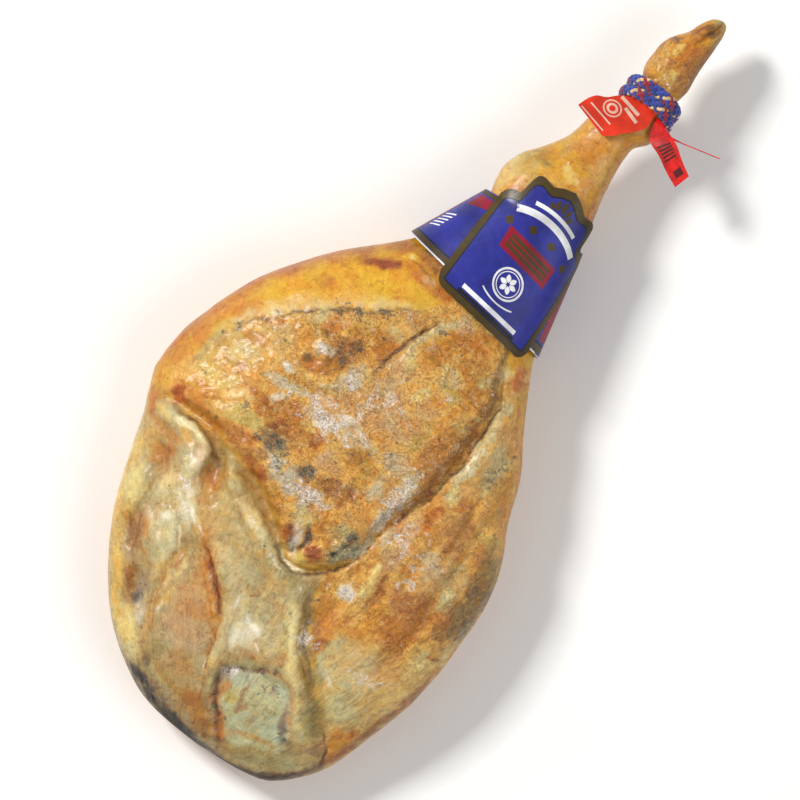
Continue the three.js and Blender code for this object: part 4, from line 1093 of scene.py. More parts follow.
def paint_shank(p):
    """The colours of the shank and foot, their marks and their traits."""
    paint = Paint(p, SHANK_BASE)
    paint.spots(SHANK_SPOTS)
    paint.area([(20, 447), (90, 447), (90, 540), (20, 540)], FOOT_BASE)
    paint.spots(FOOT_SPOTS)
    paint.area([(64, 524), (90, 518), (90, 545), (48, 545)], TOE_BASE, 2)
    paint.strokes(FOOT_STROKES)
    x, y = paint.x, paint.y
    foot = ease(y, 440, 456)
    # the oval at (70, 330) adds painted shade along the shank's right side to the crust of the foot
    crust = 0.42 * foot + 0.25 * oval(x, y, (70, 330), (14, 50))
    bloom = 0.36 * foot * oval(x, y, (56, 460), (16, 8)) + 0.25 * oval(x, y, (30, 350), (30, 30))
    marks = np.stack([crust, bloom, 0.24 * foot], -1)
    traits = np.stack([0.3 * foot, 0.45 * foot, 0.6 - 0.3 * foot], -1)
    return paint.colour, marks, traits


class HamShader(Shader):
    """Cured pork: oily rind and fat, and a dry crust on the lean with pale bloom and dark specks."""

    def __init__(self):
        super().__init__(
            "ham",
            0.45,
            Coat_Weight=0.2,
            Coat_Roughness=0.22,
            Specular_IOR_Level=0.36,
            Subsurface_Weight=0.03,
            Subsurface_Radius=(0.004, 0.002, 0.001),
            Subsurface_Scale=1.0,
        )
        self.seen = self.attribute("paint").outputs["Color"]
        self.crust, self.bloom, self.mould = self.channels("marks")
        self.streaks, self.lean, self.wet = self.channels("traits")
        grain = self.attribute("grain").outputs["Vector"]
        stretched = self.add("ShaderNodeMapping", Vector=grain, Scale=(0.8, 0.16, 0.3)).outputs[0]
        self.mid = self.noise(6, 5, 0.7, 0.8)
        self.fine = self.noise(1.7, 4, 0.72)
        self.flecks = self.noise(3.2, 4, 0.72, 1.4)
        self.streak = self.noise(3.4, 4, 0.66, 1.6, stretched)
        patchy = self.spread(self.noise(15, 3, 0.5, 0.4), 0.4, 0.62, 0.25, 1.0)
        self.dry = self.times(self.math("ADD", self.times(self.lean, 0.88), 0.04), patchy)
        wander = self.math("ABSOLUTE", self.math("SUBTRACT", self.noise(9, 4, 0.62, 1.3), 0.5))
        self.crack = self.spread(wander, 0.0, 0.024)

    def channels(self, name):
        """The three numbers that an attribute carries."""
        return self.add("ShaderNodeSeparateColor", Color=self.attribute(name).outputs["Color"]).outputs[:3]

    def tint(self, share, seen, blend="MIX"):
        """Lays a colour, as seen, over the layers before."""
        self.seen = self.mix(share, self.seen, srgb(*seen), blend)

    def mottles(self):
        """Mottles everywhere, in the light and in the warmth of the colour."""
        broad = self.noise(22, 4, 0.62, 0.5)
        lean = self.spread(self.lean, 0.0, 1.0, 0.3, 1.0)
        light = self.times(self.spread(self.fine, 0.54, 0.68, 0.0, 0.55), lean)
        dark = self.times(self.spread(self.fine, 0.46, 0.32, 0.0, 0.65), lean)
        for share, seen in (
            (self.spread(broad, 0.36, 0.64, 0.0, 0.5), (196, 128, 50)),
            (self.spread(self.mid, 0.5, 0.7, 0.0, 0.7), (250, 230, 190)),
            (self.spread(self.mid, 0.5, 0.3, 0.0, 0.7), (90, 62, 30)),
            (light, (252, 236, 206)),
            (dark, (80, 52, 26)),
        ):
            self.tint(share, seen, "SOFT_LIGHT")

    def fibres(self):
        """Pale ribs along the fibres, darker gaps between them, and near-white threads of fat on the ribs,
        painted as glints.
        """
        for low, high, strength, seen, blend in (
            (0.45, 0.66, 0.55, (240, 226, 190), "SOFT_LIGHT"),
            (0.5, 0.3, 0.3, (150, 104, 52), "MULTIPLY"),
            # the last row: near-white threads of fat on the raised ribs, painted as glints
            (0.6, 0.74, 0.24, (242, 234, 212), "MIX"),
        ):
            share = self.times(self.spread(self.streak, low, high), self.times(self.streaks, strength))
            self.tint(share, seen, blend)

    def stains(self):
        """Ragged patches of crust, bloom and mould. The crust patches also paint shade where the crust amounts
        mark it.
        """
        for amount, size, shift, strength, seen in (
            (self.crust, 15, 3.0, 0.45, (190, 126, 36)),
            (self.math("SUBTRACT", self.crust, 0.24), 8, 7.0, 0.72, (116, 74, 30)),
            (self.times(self.lean, 0.42), 12, 23.0, 0.4, (214, 190, 112)),
            (self.times(self.lean, 0.42), 18, 31.0, 0.5, (204, 130, 36)),
            (self.times(self.lean, 0.4), 24, 41.0, 0.42, (214, 184, 150)),
        ):
            self.tint(self.times(self.patches(amount, size, shift), strength), seen)
        grains = self.spread(self.fine, 0.42, 0.6)
        white = self.mix(grains, srgb(196, 170, 140), srgb(244, 238, 234))
        uneven = self.spread(self.mid, 0.36, 0.6, 0.4, 0.95)
        self.seen = self.mix(self.times(self.patches(self.bloom, 9, 11.0), uneven), self.seen, white)
        black = self.mix(grains, srgb(44, 40, 36), srgb(118, 112, 96))
        black_share = self.times(self.patches(self.mould, 3.4, 17.0), 0.74)
        self.seen = self.mix(black_share, self.seen, black)

    def dirt(self):
        """Dirt and painted shade in the pits of the crust, pale flecks and painted highlights on its tops,
        from the noise that also makes their bumps; dark and pale grains; and dark cracks.
        """
        grit = self.noise(1.9, 4, 0.75, 0.8)
        for value, low, high, strength, seen in (
            # the first two rows: darker where the fleck bumps are low and paler where they are high, painted
            # shade and highlights with the crust's dirt and pale flecks
            (self.flecks, 0.44, 0.36, 0.85, (120, 80, 32)),
            (self.flecks, 0.58, 0.66, 0.8, (248, 224, 172)),
            (grit, 0.43, 0.36, 0.5, (96, 66, 30)),
            (grit, 0.58, 0.65, 0.5, (250, 238, 206)),
        ):
            self.tint(self.times(self.spread(value, low, high), self.times(self.dry, strength)), seen)
        cracks = self.math("SUBTRACT", 1.0, self.crack)
        self.tint(self.times(cracks, self.times(self.dry, 0.5)), (112, 76, 34))

    def gloss(self):
        """Duller where the crust is dry, glossier where fat has wetted it."""
        dull = self.spread(self.math("ADD", self.lean, self.times(self.flecks, 1.2)), 0.3, 1.9, 0.34, 0.7)
        self.rough(self.math("SUBTRACT", dull, self.times(self.wet, 0.24)))

    def bumps(self):
        """Bumps of the mottles, the grains, the fibres, the cracks and the flecks."""
        smooth = self.math("SUBTRACT", 1.0, self.times(self.wet, 0.6))
        for height, distance, strength in (
            (self.mid, 1.7, 0.6),
            (self.times(self.fine, smooth), 1.0, 0.6),
            (self.times(self.streak, self.streaks), 1.8, 0.6),
            (self.times(self.crack, self.lean), 0.9, 0.8),
            (self.times(self.flecks, self.lean), 1.9, 0.85),
        ):
            self.bump(height, distance, strength)


def ham_material():
    """The ham's material, built layer by layer."""
    sh = HamShader()
    sh.mottles()
    sh.fibres()
    sh.stains()
    sh.dirt()
    sh.colour(sh.seen)
    sh.gloss()
    sh.bumps()
    return sh.material


def ham_part(name, grid, end, relief, painter, rind, box):
    """One part of the ham with its relief and its paint, kept inside the box of the solids."""
    _, normal = displace(grid, np.zeros(grid.shape[:2]))
    up = normal[..., 2]
    height = lerp(rind_relief(grid), relief(grid), ease(up, *RELIEF_START))
    height *= ease(grid[..., 2], *FLOOR_FADE) * ease(np.abs(grid[..., 1] - BODY_END), 0, CUT_FADE)
    moved, _ = displace(grid, height)
    low, high = (np.array(corner) / MM for corner in box)
    moved = np.clip(moved, low, high)
    obj = ham_mesh(name, moved, end)
    colour, marks, traits = painter(moved)
    share = ease(up, *PAINT_START)[..., None]
    store(obj, "paint", linear(lerp(np.array(rind, float), colour, share)))
    store(obj, "marks", marks * share)
    store(obj, "traits", traits * share)
    store(obj, "grain", grain_places(moved), "FLOAT_VECTOR", "vector")
    return obj


def build_ham(box):
    """The body and the shank, which meet under the card."""
    material = ham_material()
    cut = int(np.argmin(np.abs(RINGS[:, 0, 1] - BODY_END)))
    steps = LEAN_STEPS
    body = ham_surface(0, cut, BODY_ROW / steps, steps)
    shank = ham_surface(cut, len(RINGS) - 1, SHANK_ROW, SHANK_STEPS)
    for values in (
        ("ham_body", body, "high", lean_relief, paint_body, BODY_RIND),
        ("ham_shank", shank, "low", foot_relief, paint_shank, SHANK_RIND),
    ):
        piece(ham_part(*values, box), "ham", material, merge=True)


# The card round the shank: the angle of its sharp edges, the thickness of its print, the middle of the panel's
# rings, and the inks.
SHARP = math.radians(40)
PRINT = 0.06
PANEL_RING = (0, 40.5)
INK_BLUE = (42, 46, 138)
INK_GOLD = (72, 57, 22)
INK_RED = (136, 20, 44)
INK_BLACK = (24, 22, 24)
INK_WHITE = (236, 236, 238)


def angle_at(y, x, arc, lift):
    """The angles of sections of the card that lie `arc` to the right of the place where its top is at x."""
    fan = np.linspace(math.pi, 0, 361)
    points = on_section(CARD_LINES, y[:, None], fan[None, :], lift)
    steps = np.linalg.norm(np.diff(points, axis=1), axis=-1)
    length = np.concatenate([np.zeros((len(y), 1)), np.cumsum(steps, axis=1)], 1)
    out = np.empty(len(y))
    for i in range(len(y)):
        start = np.interp(x, points[i, :, 0], length[i])
        out[i] = np.interp(start + arc[i], length[i], fan)
    return out


def on_panel(flat, lift):
    """Places on the front panel, from flat places (across from its middle line, up from its lower edge)."""
    flat = np.asarray(flat, float)
    across, up = flat.reshape(-1, 2).T
    y = PANEL_Y + up + PANEL_SLOPE * across
    angle = angle_at(y, PANEL_X, across + PANEL_LEAN * up, PANEL_LIFT)
    warp = 0.35 * np.sin(across / 17) * np.sin(up / 23 + 1)
    return on_section(CARD_LINES, y, angle, lift + warp).reshape(flat.shape[:-1] + (3,))


def on_band(flat, lift):
    """Places on the band, from flat places (angle round the leg in degrees, share of its height)."""
    flat = np.asarray(flat, float)
    angle = np.radians(flat[..., 0])
    low = lerp(BAND_LOW_RIGHT, BAND_LOW_LEFT, (1 - np.cos(angle)) / 2)
    return on_section(CARD_LINES, lerp(low, BAND_HIGH, flat[..., 1]), angle, lift)


def rim_loops(rows, across, closed):
    """The loops of a grid's points round its free edges."""
    near, far = list(range(across)), list(range((rows - 1) * across, rows * across))
    if closed:
        return [near, far[::-1]]
    right = [i * across + across - 1 for i in range(1, rows)]
    left = [i * across for i in range(rows - 2, 0, -1)]
    return [near + right + far[-2::-1] + left]


def slab(flat, place, low, high, closed=False, first=0):
    """A closed sheet over a grid of flat places: its points, its faces, and the number of edge faces."""
    rows, across = flat.shape[:2]
    half = rows * across
    points = np.concatenate([place(flat, low).reshape(-1, 3), place(flat, high).reshape(-1, 3)])
    faces = grid_faces(rows, across, closed, first, True) + grid_faces(rows, across, closed, first + half)
    sides = 0
    for loop in rim_loops(rows, across, closed):
        for a, b in zip(loop, loop[1:] + loop[:1]):
            faces.append((first + a, first + b, first + b + half, first + a + half))
        sides += len(loop)
    return points, faces, sides


def thick_sheet(name, flat, place, low, high, closed=False, edge_slot=0):
    """A closed sheet over a grid of flat places from one lift to another, with a slot for its edges."""
    points, faces, sides = slab(flat, place, low, high, closed)
    obj = make_object(name, points, faces)
    obj.data.set_sharp_from_angle(angle=SHARP)
    obj.data.polygons.foreach_set("material_index", [0] * (len(faces) - sides) + [edge_slot] * sides)
    return obj


def print_layer(name, grids, place, lift, node, material):
    """One thin piece from many flat grids, printed in one colour."""
    points, faces = [], []
    for flat in grids:
        more, more_faces, _ = slab(flat, place, lift, lift + PRINT, first=sum(len(part) for part in points))
        points.append(more)
        faces += more_faces
    obj = make_object(name, np.concatenate(points), faces)
    obj.data.set_sharp_from_angle(angle=SHARP)
    piece(obj, node, material)


def between(low, high, rows):
    """A grid of flat places between two lines of as many places."""
    share = np.linspace(0, 1, rows)[:, None, None]
    return lerp(np.asarray(low, float)[None], np.asarray(high, float)[None], share)


def straight(start, end, steps):
    """Places along a straight line."""
    return lerp(np.array(start, float), np.array(end, float), np.linspace(0, 1, steps)[:, None])


def level(value, across):
    """A line of places at one height."""
    return np.stack([across, np.full(len(across), value)], -1)


def bar(start, end, width, steps=14):
    """A straight bar from start to end."""
    line = straight(start, end, steps)
    along = line[-1] - line[0]
    side = np.array([-along[1], along[0]]) / np.linalg.norm(along) * width / 2
    return between(line - side, line + side, 3)


def ring(middle, inner, outer, start=0.0, end=360.0, steps=48, squash=1.0):
    """A ring, or a part of one, between two radii."""
    angle = np.radians(np.linspace(end, start, steps))
    circle = np.stack([np.cos(angle), squash * np.sin(angle)], -1)
    return between(np.array(middle) + inner * circle, np.array(middle) + outer * circle, 3)


def lozenge(middle, wide, high):
    """A diamond standing on its point."""
    share = np.linspace(-1, 1, 9)
    half = (1 - np.abs(share)) * high / 2 + 0.02
    line = level(middle[1], middle[0] + share * wide / 2)
    off = np.stack([np.zeros(9), half], -1)
    return between(line - off, line + off, 3)


def petal(middle, angle, near, far, width):
    """A petal of a flower, pointing away from its middle."""
    share = np.linspace(0, 1, 9)
    ahead = np.array([math.cos(angle), math.sin(angle)])
    side = np.array([-ahead[1], ahead[0]])
    line = np.array(middle) + ahead * lerp(near, far, share)[:, None]
    off = side * (np.sin(np.pi * np.clip(share, 0.03, 0.97)) ** 0.7 * width / 2)[:, None]
    return between(line - off, line + off, 3)


def card_material(name, ink, roughness=0.42, worn=0.22):
    """Coated, printed card: fine fibres, faint scuffs and slightly uneven ink."""
    sh = Shader(name, roughness, Specular_IOR_Level=0.3)
    scuffs = sh.noise(11, 6, 0.7, 1.2)
    darker = srgb(*(c * 0.8 for c in ink))
    colour = sh.mix(sh.spread(sh.noise(30, 3), 0.35, 0.65), srgb(*ink), darker)
    colour = sh.mix(sh.spread(scuffs, 0.62, 0.8, 0.0, worn), colour, srgb(*(c * 0.6 + 90 for c in ink)))
    sh.colour(colour)
    sh.rough(sh.spread(scuffs, 0.4, 0.75, roughness - 0.06, roughness + 0.16))
    sh.bump(sh.noise(1.4, 6, 0.6), 0.12, 0.3)
    return sh.material


def panel_grid(inset, top_drop):
    """The panel's flat places within an inset from its outline."""
    top, bottom = curve_through(PANEL_TOP), curve_through(PANEL_BOTTOM)
    half = PANEL_HALF - inset
    across = np.linspace(-half, half, 121)
    wave = 0.25 * np.sin(across * 0.55) * (inset == 0)
    low = np.stack([across, bottom(np.abs(across)) + inset + wave], -1)
    high = np.stack([across, top(np.abs(across) + top_drop * 0.5) - top_drop], -1)
    return between(low, high, 60)


def build_card():
    """The band round the shank, the front panel over it and what is printed on them."""
    gold = card_material("card_gold", INK_GOLD, 0.4)
    blue = card_material("card_blue", INK_BLUE, 0.38)
    black = card_material("card_black", INK_BLACK, 0.45)
    white = card_material("card_white", INK_WHITE, 0.5, 0.1)
    red = card_material("card_red", INK_RED)
    band_flat = np.stack(np.meshgrid(np.arange(0, 360, 2.5), np.linspace(0, 1, 33)), -1)
    band = thick_sheet("card_band_sheet", band_flat, on_band, BAND_LIFT, BAND_LIFT + CARD, True, 1)
    piece(band, "card_band", blue)
    band.data.materials.append(white)
    panel_top = PANEL_LIFT + CARD
    panel = thick_sheet("card_panel_sheet", panel_grid(0, 0), on_panel, PANEL_LIFT, panel_top, False, 1)
    piece(panel, "card_panel", gold)
    panel.data.materials.append(white)
    build_panel_print(gold, blue, black, white, red)
    build_band_print(gold, black, white, red)


def build_panel_print(gold, blue, black, white, red):
    """The panel's field with its border, crest, lozenges, arcs, plaque, flower in rings and bars."""
    crest = [petal((0, 103), math.radians(a), 13, 24.5 - 0.13 * abs(a - 90), 4.6) for a in range(54, 127, 18)]
    lozenges = [lozenge((x, 90.5 - 0.008 * x * x), 9, 9) for x in (-31.5, -10.5, 10.5, 31.5)]
    arcs = [ring((0, 40), 70.2, 73.8, 72, 108, 30), ring((0, 40), 60.5, 66.5, 59, 121, 40)]
    flower = [petal(PANEL_RING, math.tau * k / 6, 1.6, 8.2, 4.4) for k in range(6)]
    rings = [ring(PANEL_RING, 12.4, 14.2), ring(PANEL_RING, 10.2, 11)]
    bars = [bar((-30, 14), (30, 14), 4, 20), ring((0, 62), 39.6, 41, 246, 294, 24)]
    plaque = between(straight((-26, 60), (27, 58), 20), straight((-28, 80), (26, 78), 20), 6)
    stripes = [bar((-22, y + 1), (22, y - 1), 3, 14) for y in (64.5, 69, 73.5)]
    for name, grids, layer, material in (
        ("panel_line", [panel_grid(6, 6.5)], 0, black),
        ("panel_field", [panel_grid(7.2, 7.7)], 1, blue),
        ("panel_gold", crest + lozenges, 2, gold),
        ("panel_white", arcs + flower + rings + bars, 2, white),
        ("panel_red", [plaque], 2, red),
        ("panel_stripes", stripes, 3, gold),
        ("panel_foot", [bar((-32, 9), (32, 9), 3, 20)], 2, black),
    ):
        print_layer(name, grids, on_panel, PANEL_LIFT + CARD + layer * PRINT, "card_panel", material)


def hoop(low, high):
    """A stripe all round the band, between two shares of its height."""
    all_round = np.linspace(362, 0, 150)
    return between(level(low, all_round), level(high, all_round), 4)


def build_band_print(gold, black, white, red):
    """The band's borders, its red edges and plain lines on its left side."""
    sides = []
    for start, end, low, rise in ((166, 218, 0.13, 0), (-40, 26, 0.13, 0), (112, 156, 0.7, 0.14)):
        angle = np.linspace(end, start, 30)
        slope = np.linspace(0, rise, 30)
        sides.append(between(np.stack([angle, low + slope], -1), level(0.91, angle), 24))
    lines = [bar((161, 0.24 + 0.055 * k), (146, 0.3 + 0.055 * k), 0.02, 12) for k in range(5)]
    for name, grids, material in (
        ("band_edge", [hoop(0.0, 0.018)], white),
        ("band_gold", [hoop(0.022, 0.085), hoop(0.93, 0.985)], gold),
        ("band_line", [hoop(0.09, 0.11)], black),
        ("band_red", sides, red),
        ("band_lines", lines, white),
    ):
        print_layer(name, grids, on_band, BAND_LIFT + CARD, "card_band", material)


# The cord round the ankle.
CORD_HALF_HEIGHT = 3.9
CORD_HALF_WIDTH = 5.0
CORD_GAP = 2.9
CORD_PLACE = 438
CORD_RISE = 10.3
CORD_TURNS = 2
CORD_TILT = 6.5
KNOT_SIZE = (9, 8, 6)
CORD_END = (17, -17, -3)
BRAID_PITCH = 26
STRAND_RADIUS = 1.75
CORE_RADIUS = 2.4
CORE_COLOUR = (34, 44, 110)
CORD_COLOURS = [
    (44, 62, 150), (40, 54, 138), (138, 24, 48), (50, 70, 156),
    (36, 48, 124), (226, 190, 132), (46, 64, 150), (150, 28, 50),
]


def cord_route(steps):
    """The middle of the cord round the ankle and its outward directions."""
    share = np.linspace(0, 1, steps)
    angle = -math.pi / 2 + 2 * math.pi * CORD_TURNS * share
    y = CORD_PLACE + CORD_RISE * CORD_TURNS * (share - 0.5) + CORD_TILT * np.sin(angle)
    lift = CORD_GAP + CORD_HALF_HEIGHT
    points = on_section(LEG_LINES, y, angle, lift)
    outward = points - on_section(LEG_LINES, y, angle)
    outward[:, 1] = 0
    return points, outward / np.linalg.norm(outward, axis=1, keepdims=True)


def sides_along(points, outward=None):
    """The unit directions to the side and up along a route, from directions that point about up."""
    ahead = np.gradient(points, axis=0)
    ahead /= np.linalg.norm(ahead, axis=1, keepdims=True)
    if outward is None:
        outward = np.array([0.0, 0.0, 1.0]) + 0.01 * ahead[:, ::-1]
    side = np.cross(ahead, outward)
    side /= np.linalg.norm(side, axis=1, keepdims=True)
    return side, np.cross(side, ahead)


def tube(name, points, radius, sides=8):
    """A closed tube with round ends along points."""
    side, up = sides_along(points)
    angle = np.linspace(0, math.tau, sides, endpoint=False)[None, :, None]
    radius = np.broadcast_to(radius, len(points))[:, None, None]
    rings = points[:, None] + radius * (np.cos(angle) * side[:, None] + np.sin(angle) * up[:, None])
    flat = np.concatenate([rings.reshape(-1, 3), points[:1], points[-1:]])
    n = len(points) * sides
    faces = grid_faces(len(points), sides, True, 0, True)
    for j in range(sides):
        k = (j + 1) % sides
        faces.append((n, j, k))
        faces.append((n + 1, n - sides + k, n - sides + j))
    return make_object(name, flat, faces)


def strand_paths(points, outward, wide, high, pitch, strands):
    """The paths of a round braid's strands along a route, half of them turning each way, over and under."""
    length = np.concatenate([[0], np.cumsum(np.linalg.norm(np.diff(points, axis=0), axis=1))])
    side, up = sides_along(points, outward)
    paths = []
    for k in range(strands):
        way = 1 if k % 2 else -1
        angle = way * (math.tau * length / pitch + math.tau * (k // 2) / (strands / 2))
        over = 1 + 0.16 * way * np.cos(strands / 2 * angle)
        across, lift = wide * over * np.cos(angle), high * over * np.sin(angle)
        paths.append(points + across[:, None] * side + lift[:, None] * up)
    return paths


def cord_material(name, colour):
    """Twisted yarn: fine ribs with a little fluff and dirt."""
    sh = Shader(name, 0.85, Sheen_Weight=0.3, Sheen_Roughness=0.5)
    yarn = sh.noise(0.9, 3, 0.5)
    darker = srgb(*(c * 0.72 for c in colour))
    lighter = srgb(*(min(255, c * 1.15) for c in colour))
    shade = sh.mix(sh.spread(yarn, 0.35, 0.65), darker, lighter)
    sh.colour(sh.mix(sh.spread(sh.noise(6, 4), 0.5, 0.8, 0.0, 0.35), shade, srgb(96, 80, 60)))
    sh.bump(yarn, 0.35, 0.8)
    return sh.material


def build_cord():
    """The two turns of the cord, braided over a core, and their knot."""
    route, outward = cord_route(520)
    length = np.linalg.norm(np.diff(route, axis=0), axis=1).sum()
    core = cord_material("cord_core", CORE_COLOUR)
    materials = [cord_material(f"cord_yarn_{k}", colour) for k, colour in enumerate(CORD_COLOURS)]
    pitch = length / round(length / BRAID_PITCH)
    wide, high = CORD_HALF_WIDTH - 1.7, CORD_HALF_HEIGHT - 1.4
    for k, path in enumerate(strand_paths(route, outward, wide, high, pitch, len(CORD_COLOURS))):
        piece(tube(f"cord_strand_{k}", path, STRAND_RADIUS), "ankle_cord", materials[k])
    piece(tube("cord_core", route[::4], CORE_RADIUS), "ankle_cord", core)
    build_knot(materials)


def build_knot(materials):
    """The knot under the ankle: crossed wraps, and two short braided ends."""
    y = np.array([CORD_PLACE - CORD_TILT])
    lift = CORD_GAP + CORD_HALF_HEIGHT + KNOT_SIZE[2] / 2
    middle = on_section(LEG_LINES, y, np.array([-math.pi / 2]), lift)[0]
    angle = np.linspace(0, math.tau, 40)
    for k in range(4):
        tilt = math.pi * k / 4 + 0.3
        loop = np.stack([np.cos(angle) * math.cos(tilt), np.cos(angle) * math.sin(tilt), np.sin(angle)], -1)
        loop = middle + loop * (np.array(KNOT_SIZE) - 2)
        piece(tube(f"knot_wrap_{k}", loop, 2), "ankle_cord", materials[2 * k])
    for k, way in enumerate((-1, 1)):
        t = np.linspace(0, 1, 24)[:, None]
        line = middle + np.concatenate([way * CORD_END[0] * t, CORD_END[1] * t, CORD_END[2] * t * t], 1)
        down = np.tile([0.0, 0.0, -1.0], (24, 1))
        for j, path in enumerate(strand_paths(line, down, 2.1, 1.9, 14, 4)):
            piece(tube(f"cord_end_{k}_{j}", path, 1.7, 7), "ankle_cord", materials[(3 * j + k) % 8])


# The tag.
TUCK = 0.7
TAG = 0.8
TAG_BEND = 437
TAG_HEIGHT = 79.5
TAG_RISE = 0.12
TAG_SEAT = (47, 66)
TAG_LEFT = [(0, 49), (0.15, 43.5), (0.32, 32.5), (0.5, 22), (0.66, 15), (0.82, 10), (1, 6)]
TAG_RIGHT = [(0, 63), (0.12, 66), (0.3, 66), (0.5, 60), (0.75, 50.5), (0.9, 46), (1, 38)]
TAG_Y_LEFT = [(0, 440), (0.15, 435), (0.32, 430), (0.5, 421), (0.66, 418), (0.82, 412), (1, 402)]
TAG_Y_RIGHT = [(0, 440), (0.12, 432), (0.3, 421), (0.5, 411), (0.75, 402), (0.9, 397), (1, 391.5)]


def skin_at(x, y):
    """The height of the skin on the upper side of the leg."""
    left, right, top, under = (line(y) for line in LEG_LINES)
    rim = lerp(under, top, RIM_SHARE)
    across = np.clip(np.abs(2 * x - left - right) / (right - left), 0, 1)
    return rim + (top - rim) * (1 - across**LEAN_ROUNDNESS) ** (1 / LEAN_ROUNDNESS)


def tag_surface(x, y, lift):
    """Places on the tag over places in plan. It lies on the skin under the cord and then stands free."""
    tucked = skin_at(np.clip(x, *TAG_SEAT), y) + TUCK
    free = TAG_HEIGHT + TAG_RISE * (TAG_BEND - y)
    z = lerp(tucked, free, ease(TAG_BEND - y, 0, 12)) + lift
    return np.stack([x, y, z], -1)


def on_tag(flat, lift):
    """Places on the tag, from flat places (share across, share down)."""
    across, down = flat[..., 0], flat[..., 1]
    x = lerp(curve_through(TAG_LEFT)(down), curve_through(TAG_RIGHT)(down), across)
    y = lerp(curve_through(TAG_Y_LEFT)(down), curve_through(TAG_Y_RIGHT)(down), across)
    return tag_surface(x, y, lift)


def on_tag_plan(flat, lift):
    """Places on the tag, from places in plan."""
    return tag_surface(flat[..., 0], flat[..., 1], lift)


def build_tag():
    """The tag with a ring and plain bars printed on it."""
    red = card_material("tag_red", (232, 58, 34), 0.35, 0.2)
    pale = card_material("tag_pale", (246, 200, 178), 0.45, 0.1)
    flat = np.stack(np.meshgrid(np.linspace(0, 1, 31), np.linspace(0, 1, 41)), -1)
    piece(thick_sheet("tag_sheet", flat[::-1], on_tag, 0.0, TAG), "tag", red)
    marks = [ring((32, 416), 7.2, 8.6, squash=0.85), ring((32, 416), 3.0, 5.2, squash=0.85)]
    marks += [bar((14, 410), (38, 403.5), 1.4), bar((9, 403), (36, 395.5), 1.2)]
    marks += [bar((33, 429), (54, 423.5), 3.0), bar((41, 422.5), (56, 417), 3.0)]
    print_layer("tag_print", marks, on_tag_plan, TAG, "tag", pale)


# The seal.
SEAL = 1.1
SEAL_UPPER = [
    (80, 427.6, 71.5), (83, 425.6, 73.5), (88, 424, 75), (96, 420.5, 75.5), (107, 412.5, 74),
    (119, 405, 71),
]
SEAL_LOWER = [
    (67, 430, 75.6), (69, 422.5, 78), (74, 411, 78), (88, 405, 73), (101, 397.5, 69), (114.5, 391, 67),
]
SEAL_TAIL = [(86, 422.5, 75.4), (93, 424, 76), (104, 426, 76), (118, 429, 75), (132.5, 432, 73.5)]


def through(places, share):
    """Smooth places along a route, at shares of it."""
    places = np.array(places, float)
    last = len(places) - 1
    t = np.clip(share, 0, 1) * last
    i = np.minimum(t.astype(int), last - 1)
    before = np.where((i > 0)[..., None], places[np.maximum(i - 1, 0)], 2 * places[0] - places[1])
    after = np.where((i + 2 <= last)[..., None], places[np.minimum(i + 2, last)], 2 * places[-1] - places[-2])
    return spline(before, places[i], places[i + 1], after, (t - i)[..., None])


def on_seal(flat, lift):
    """Places on the strap, from flat places (share across, share along)."""
    across, along = flat[..., 0], flat[..., 1]
    upper, lower = through(SEAL_UPPER, along), through(SEAL_LOWER, along)
    before, after = (through(SEAL_UPPER, np.clip(along + step, 0, 1)) for step in (-0.02, 0.02))
    normal = np.cross(lower - upper, after - before)
    normal /= np.linalg.norm(normal, axis=-1, keepdims=True)
    normal = np.where(normal[..., 2:] < 0, -normal, normal)
    crown = 0.8 * (1 - (2 * across - 1) ** 2) * (1 - along)
    return lerp(upper, lower, across[..., None]) + normal * (lift + crown)[..., None]


def plastic_material(name, colour, roughness):
    """Moulded plastic: glossy, with faint flow marks and scratches."""
    sh = Shader(name, roughness, Coat_Weight=0.3, Coat_Roughness=0.12)
    flow = sh.noise(9, 4, 0.5, 1.0)
    sh.colour(sh.mix(sh.spread(flow, 0.4, 0.65), srgb(*colour), srgb(*(c * 0.78 for c in colour))))
    sh.rough(sh.spread(sh.noise(2, 5), 0.35, 0.7, roughness, roughness + 0.14))
    sh.bump(sh.noise(3, 3), 0.15, 0.3)
    return sh.material


def seal_mark(from_across, to_across, from_along, to_along, steps, rows):
    """A plain mark over a part of the strap."""
    near = straight((from_across, from_along), (to_across, from_along), steps)
    far = straight((from_across, to_along), (to_across, to_along), steps)
    return between(near, far, rows)


def build_seal():
    """The strap with plain marks, and its thin tail."""
    red = plastic_material("seal_red", (226, 30, 24), 0.22)
    dark = plastic_material("seal_ink", (92, 14, 16), 0.4)
    flat = np.stack(np.meshgrid(np.linspace(0, 1, 15), np.linspace(0, 1, 60)), -1)
    piece(thick_sheet("seal_strap", flat[::-1], on_seal, 0.0, SEAL), "seal", red)
    marks = [seal_mark(0.86, 0.2, along, along + 0.026, 12, 3) for along in (0.5, 0.545, 0.59, 0.635, 0.68)]
    marks.append(seal_mark(0.7, 0.2, 0.84, 0.93, 10, 5))
    print_layer("seal_marks", marks, on_seal, SEAL, "seal", dark)
    share = np.linspace(0, 1, 60)
    radius = lerp(1.6, 0.5, ease(share, 0, 0.4))
    piece(tube("seal_tail", through(SEAL_TAIL, share), radius, 10), "seal", red)


# Floor, light and camera. A light has a name, a direction, a height, a size, a power and a tint.
FLOOR = 8000
STUDIO_STRENGTH = 0.38
LIGHTS = [
    ("key", (-2.5, 2.3), 3.4, 1.0, 214, (1.0, 0.985, 0.95)),
    ("fill", (2.6, -1.4), 3.2, 3.0, 66, (0.97, 0.98, 1.0)),
]


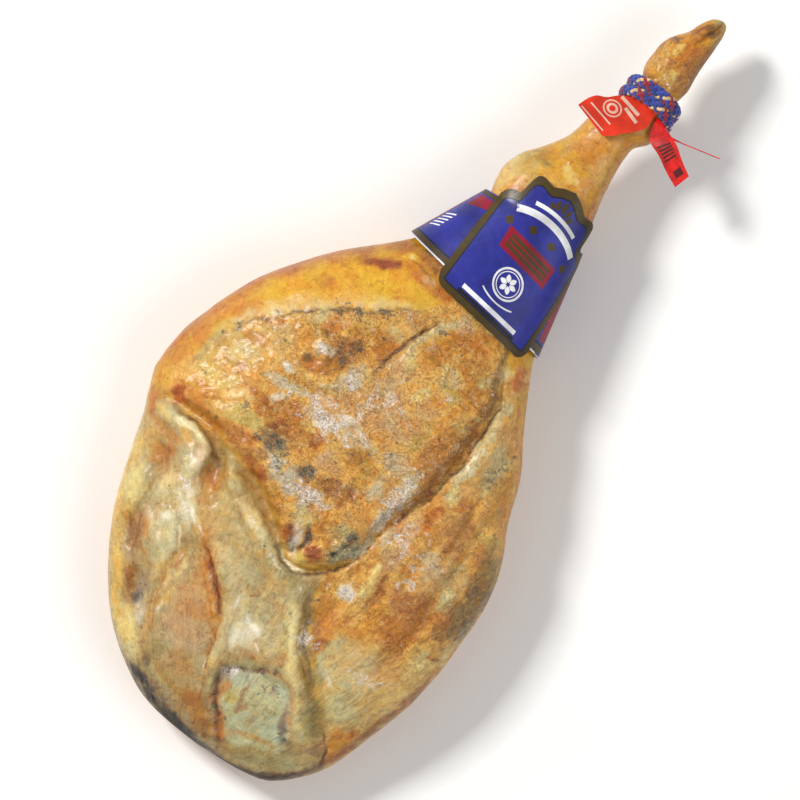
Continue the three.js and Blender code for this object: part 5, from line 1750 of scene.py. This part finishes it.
def build_floor():
    """A plain pale floor."""
    corners = [(-FLOOR, -FLOOR, 0), (FLOOR, -FLOOR, 0), (FLOOR, FLOOR, 0), (-FLOOR, FLOOR, 0)]
    floor = make_object("floor", corners, [(0, 1, 2, 3)])
    sh = Shader("floor", 0.9)
    sh.colour(sh.mix(sh.spread(sh.noise(400, 2), 0.3, 0.7), srgb(243, 243, 242), srgb(239, 239, 238)))
    floor.data.materials.append(sh.material)


def plan_direction(right, up):
    """A direction in plan, from a direction in the picture."""
    c, s = math.cos(TURN), math.sin(TURN)
    return Vector((right * c - up * s, right * s + up * c, 0))


def add_light(name, direction, height, size, power, tint):
    """A square light that looks at the middle of the ham from a direction in the picture."""
    light = bpy.data.lights.new(name, "AREA")
    light.energy = power
    light.size = size
    light.color = tint
    obj = bpy.data.objects.new(name, light)
    target = Vector((LOOK_AT[0] * MM, LOOK_AT[1] * MM, 0.05))
    obj.location = target + plan_direction(*direction) + Vector((0, 0, height))
    obj.rotation_euler = (target - obj.location).to_track_quat("-Z", "Y").to_euler()
    obj.visible_camera = False
    bpy.context.scene.collection.objects.link(obj)


def build_light():
    """A soft key light from the upper left, a broad fill light and a pale studio all round."""
    for values in LIGHTS:
        add_light(*values)
    world = bpy.data.worlds.new("studio")
    world.use_nodes = True
    world.node_tree.nodes["Background"].inputs["Color"].default_value = (1, 1, 1, 1)
    world.node_tree.nodes["Background"].inputs["Strength"].default_value = STUDIO_STRENGTH
    bpy.context.scene.world = world
    bpy.context.scene.view_settings.view_transform = "Standard"


def build_camera():
    """A camera that looks straight down, with the ham's rim as wide as in the picture."""
    camera = bpy.data.cameras.new("camera")
    camera.sensor_width = SENSOR
    camera.lens = SENSOR * (CAMERA_HEIGHT - RIM_HEIGHT) / FRAME_WIDTH
    camera.clip_end = 100
    obj = bpy.data.objects.new("camera", camera)
    place = Vector((LOOK_AT[0] * MM, LOOK_AT[1] * MM, CAMERA_HEIGHT * MM))
    obj.matrix_world = Matrix.Translation(place) @ Matrix.Rotation(TURN, 4, "Z")
    bpy.context.scene.collection.objects.link(obj)
    bpy.context.scene.camera = obj


cad_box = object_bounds()
build_camera()
build_light()
build_floor()
build_ham(cad_box)
build_card()
build_cord()
build_tag()
build_seal()
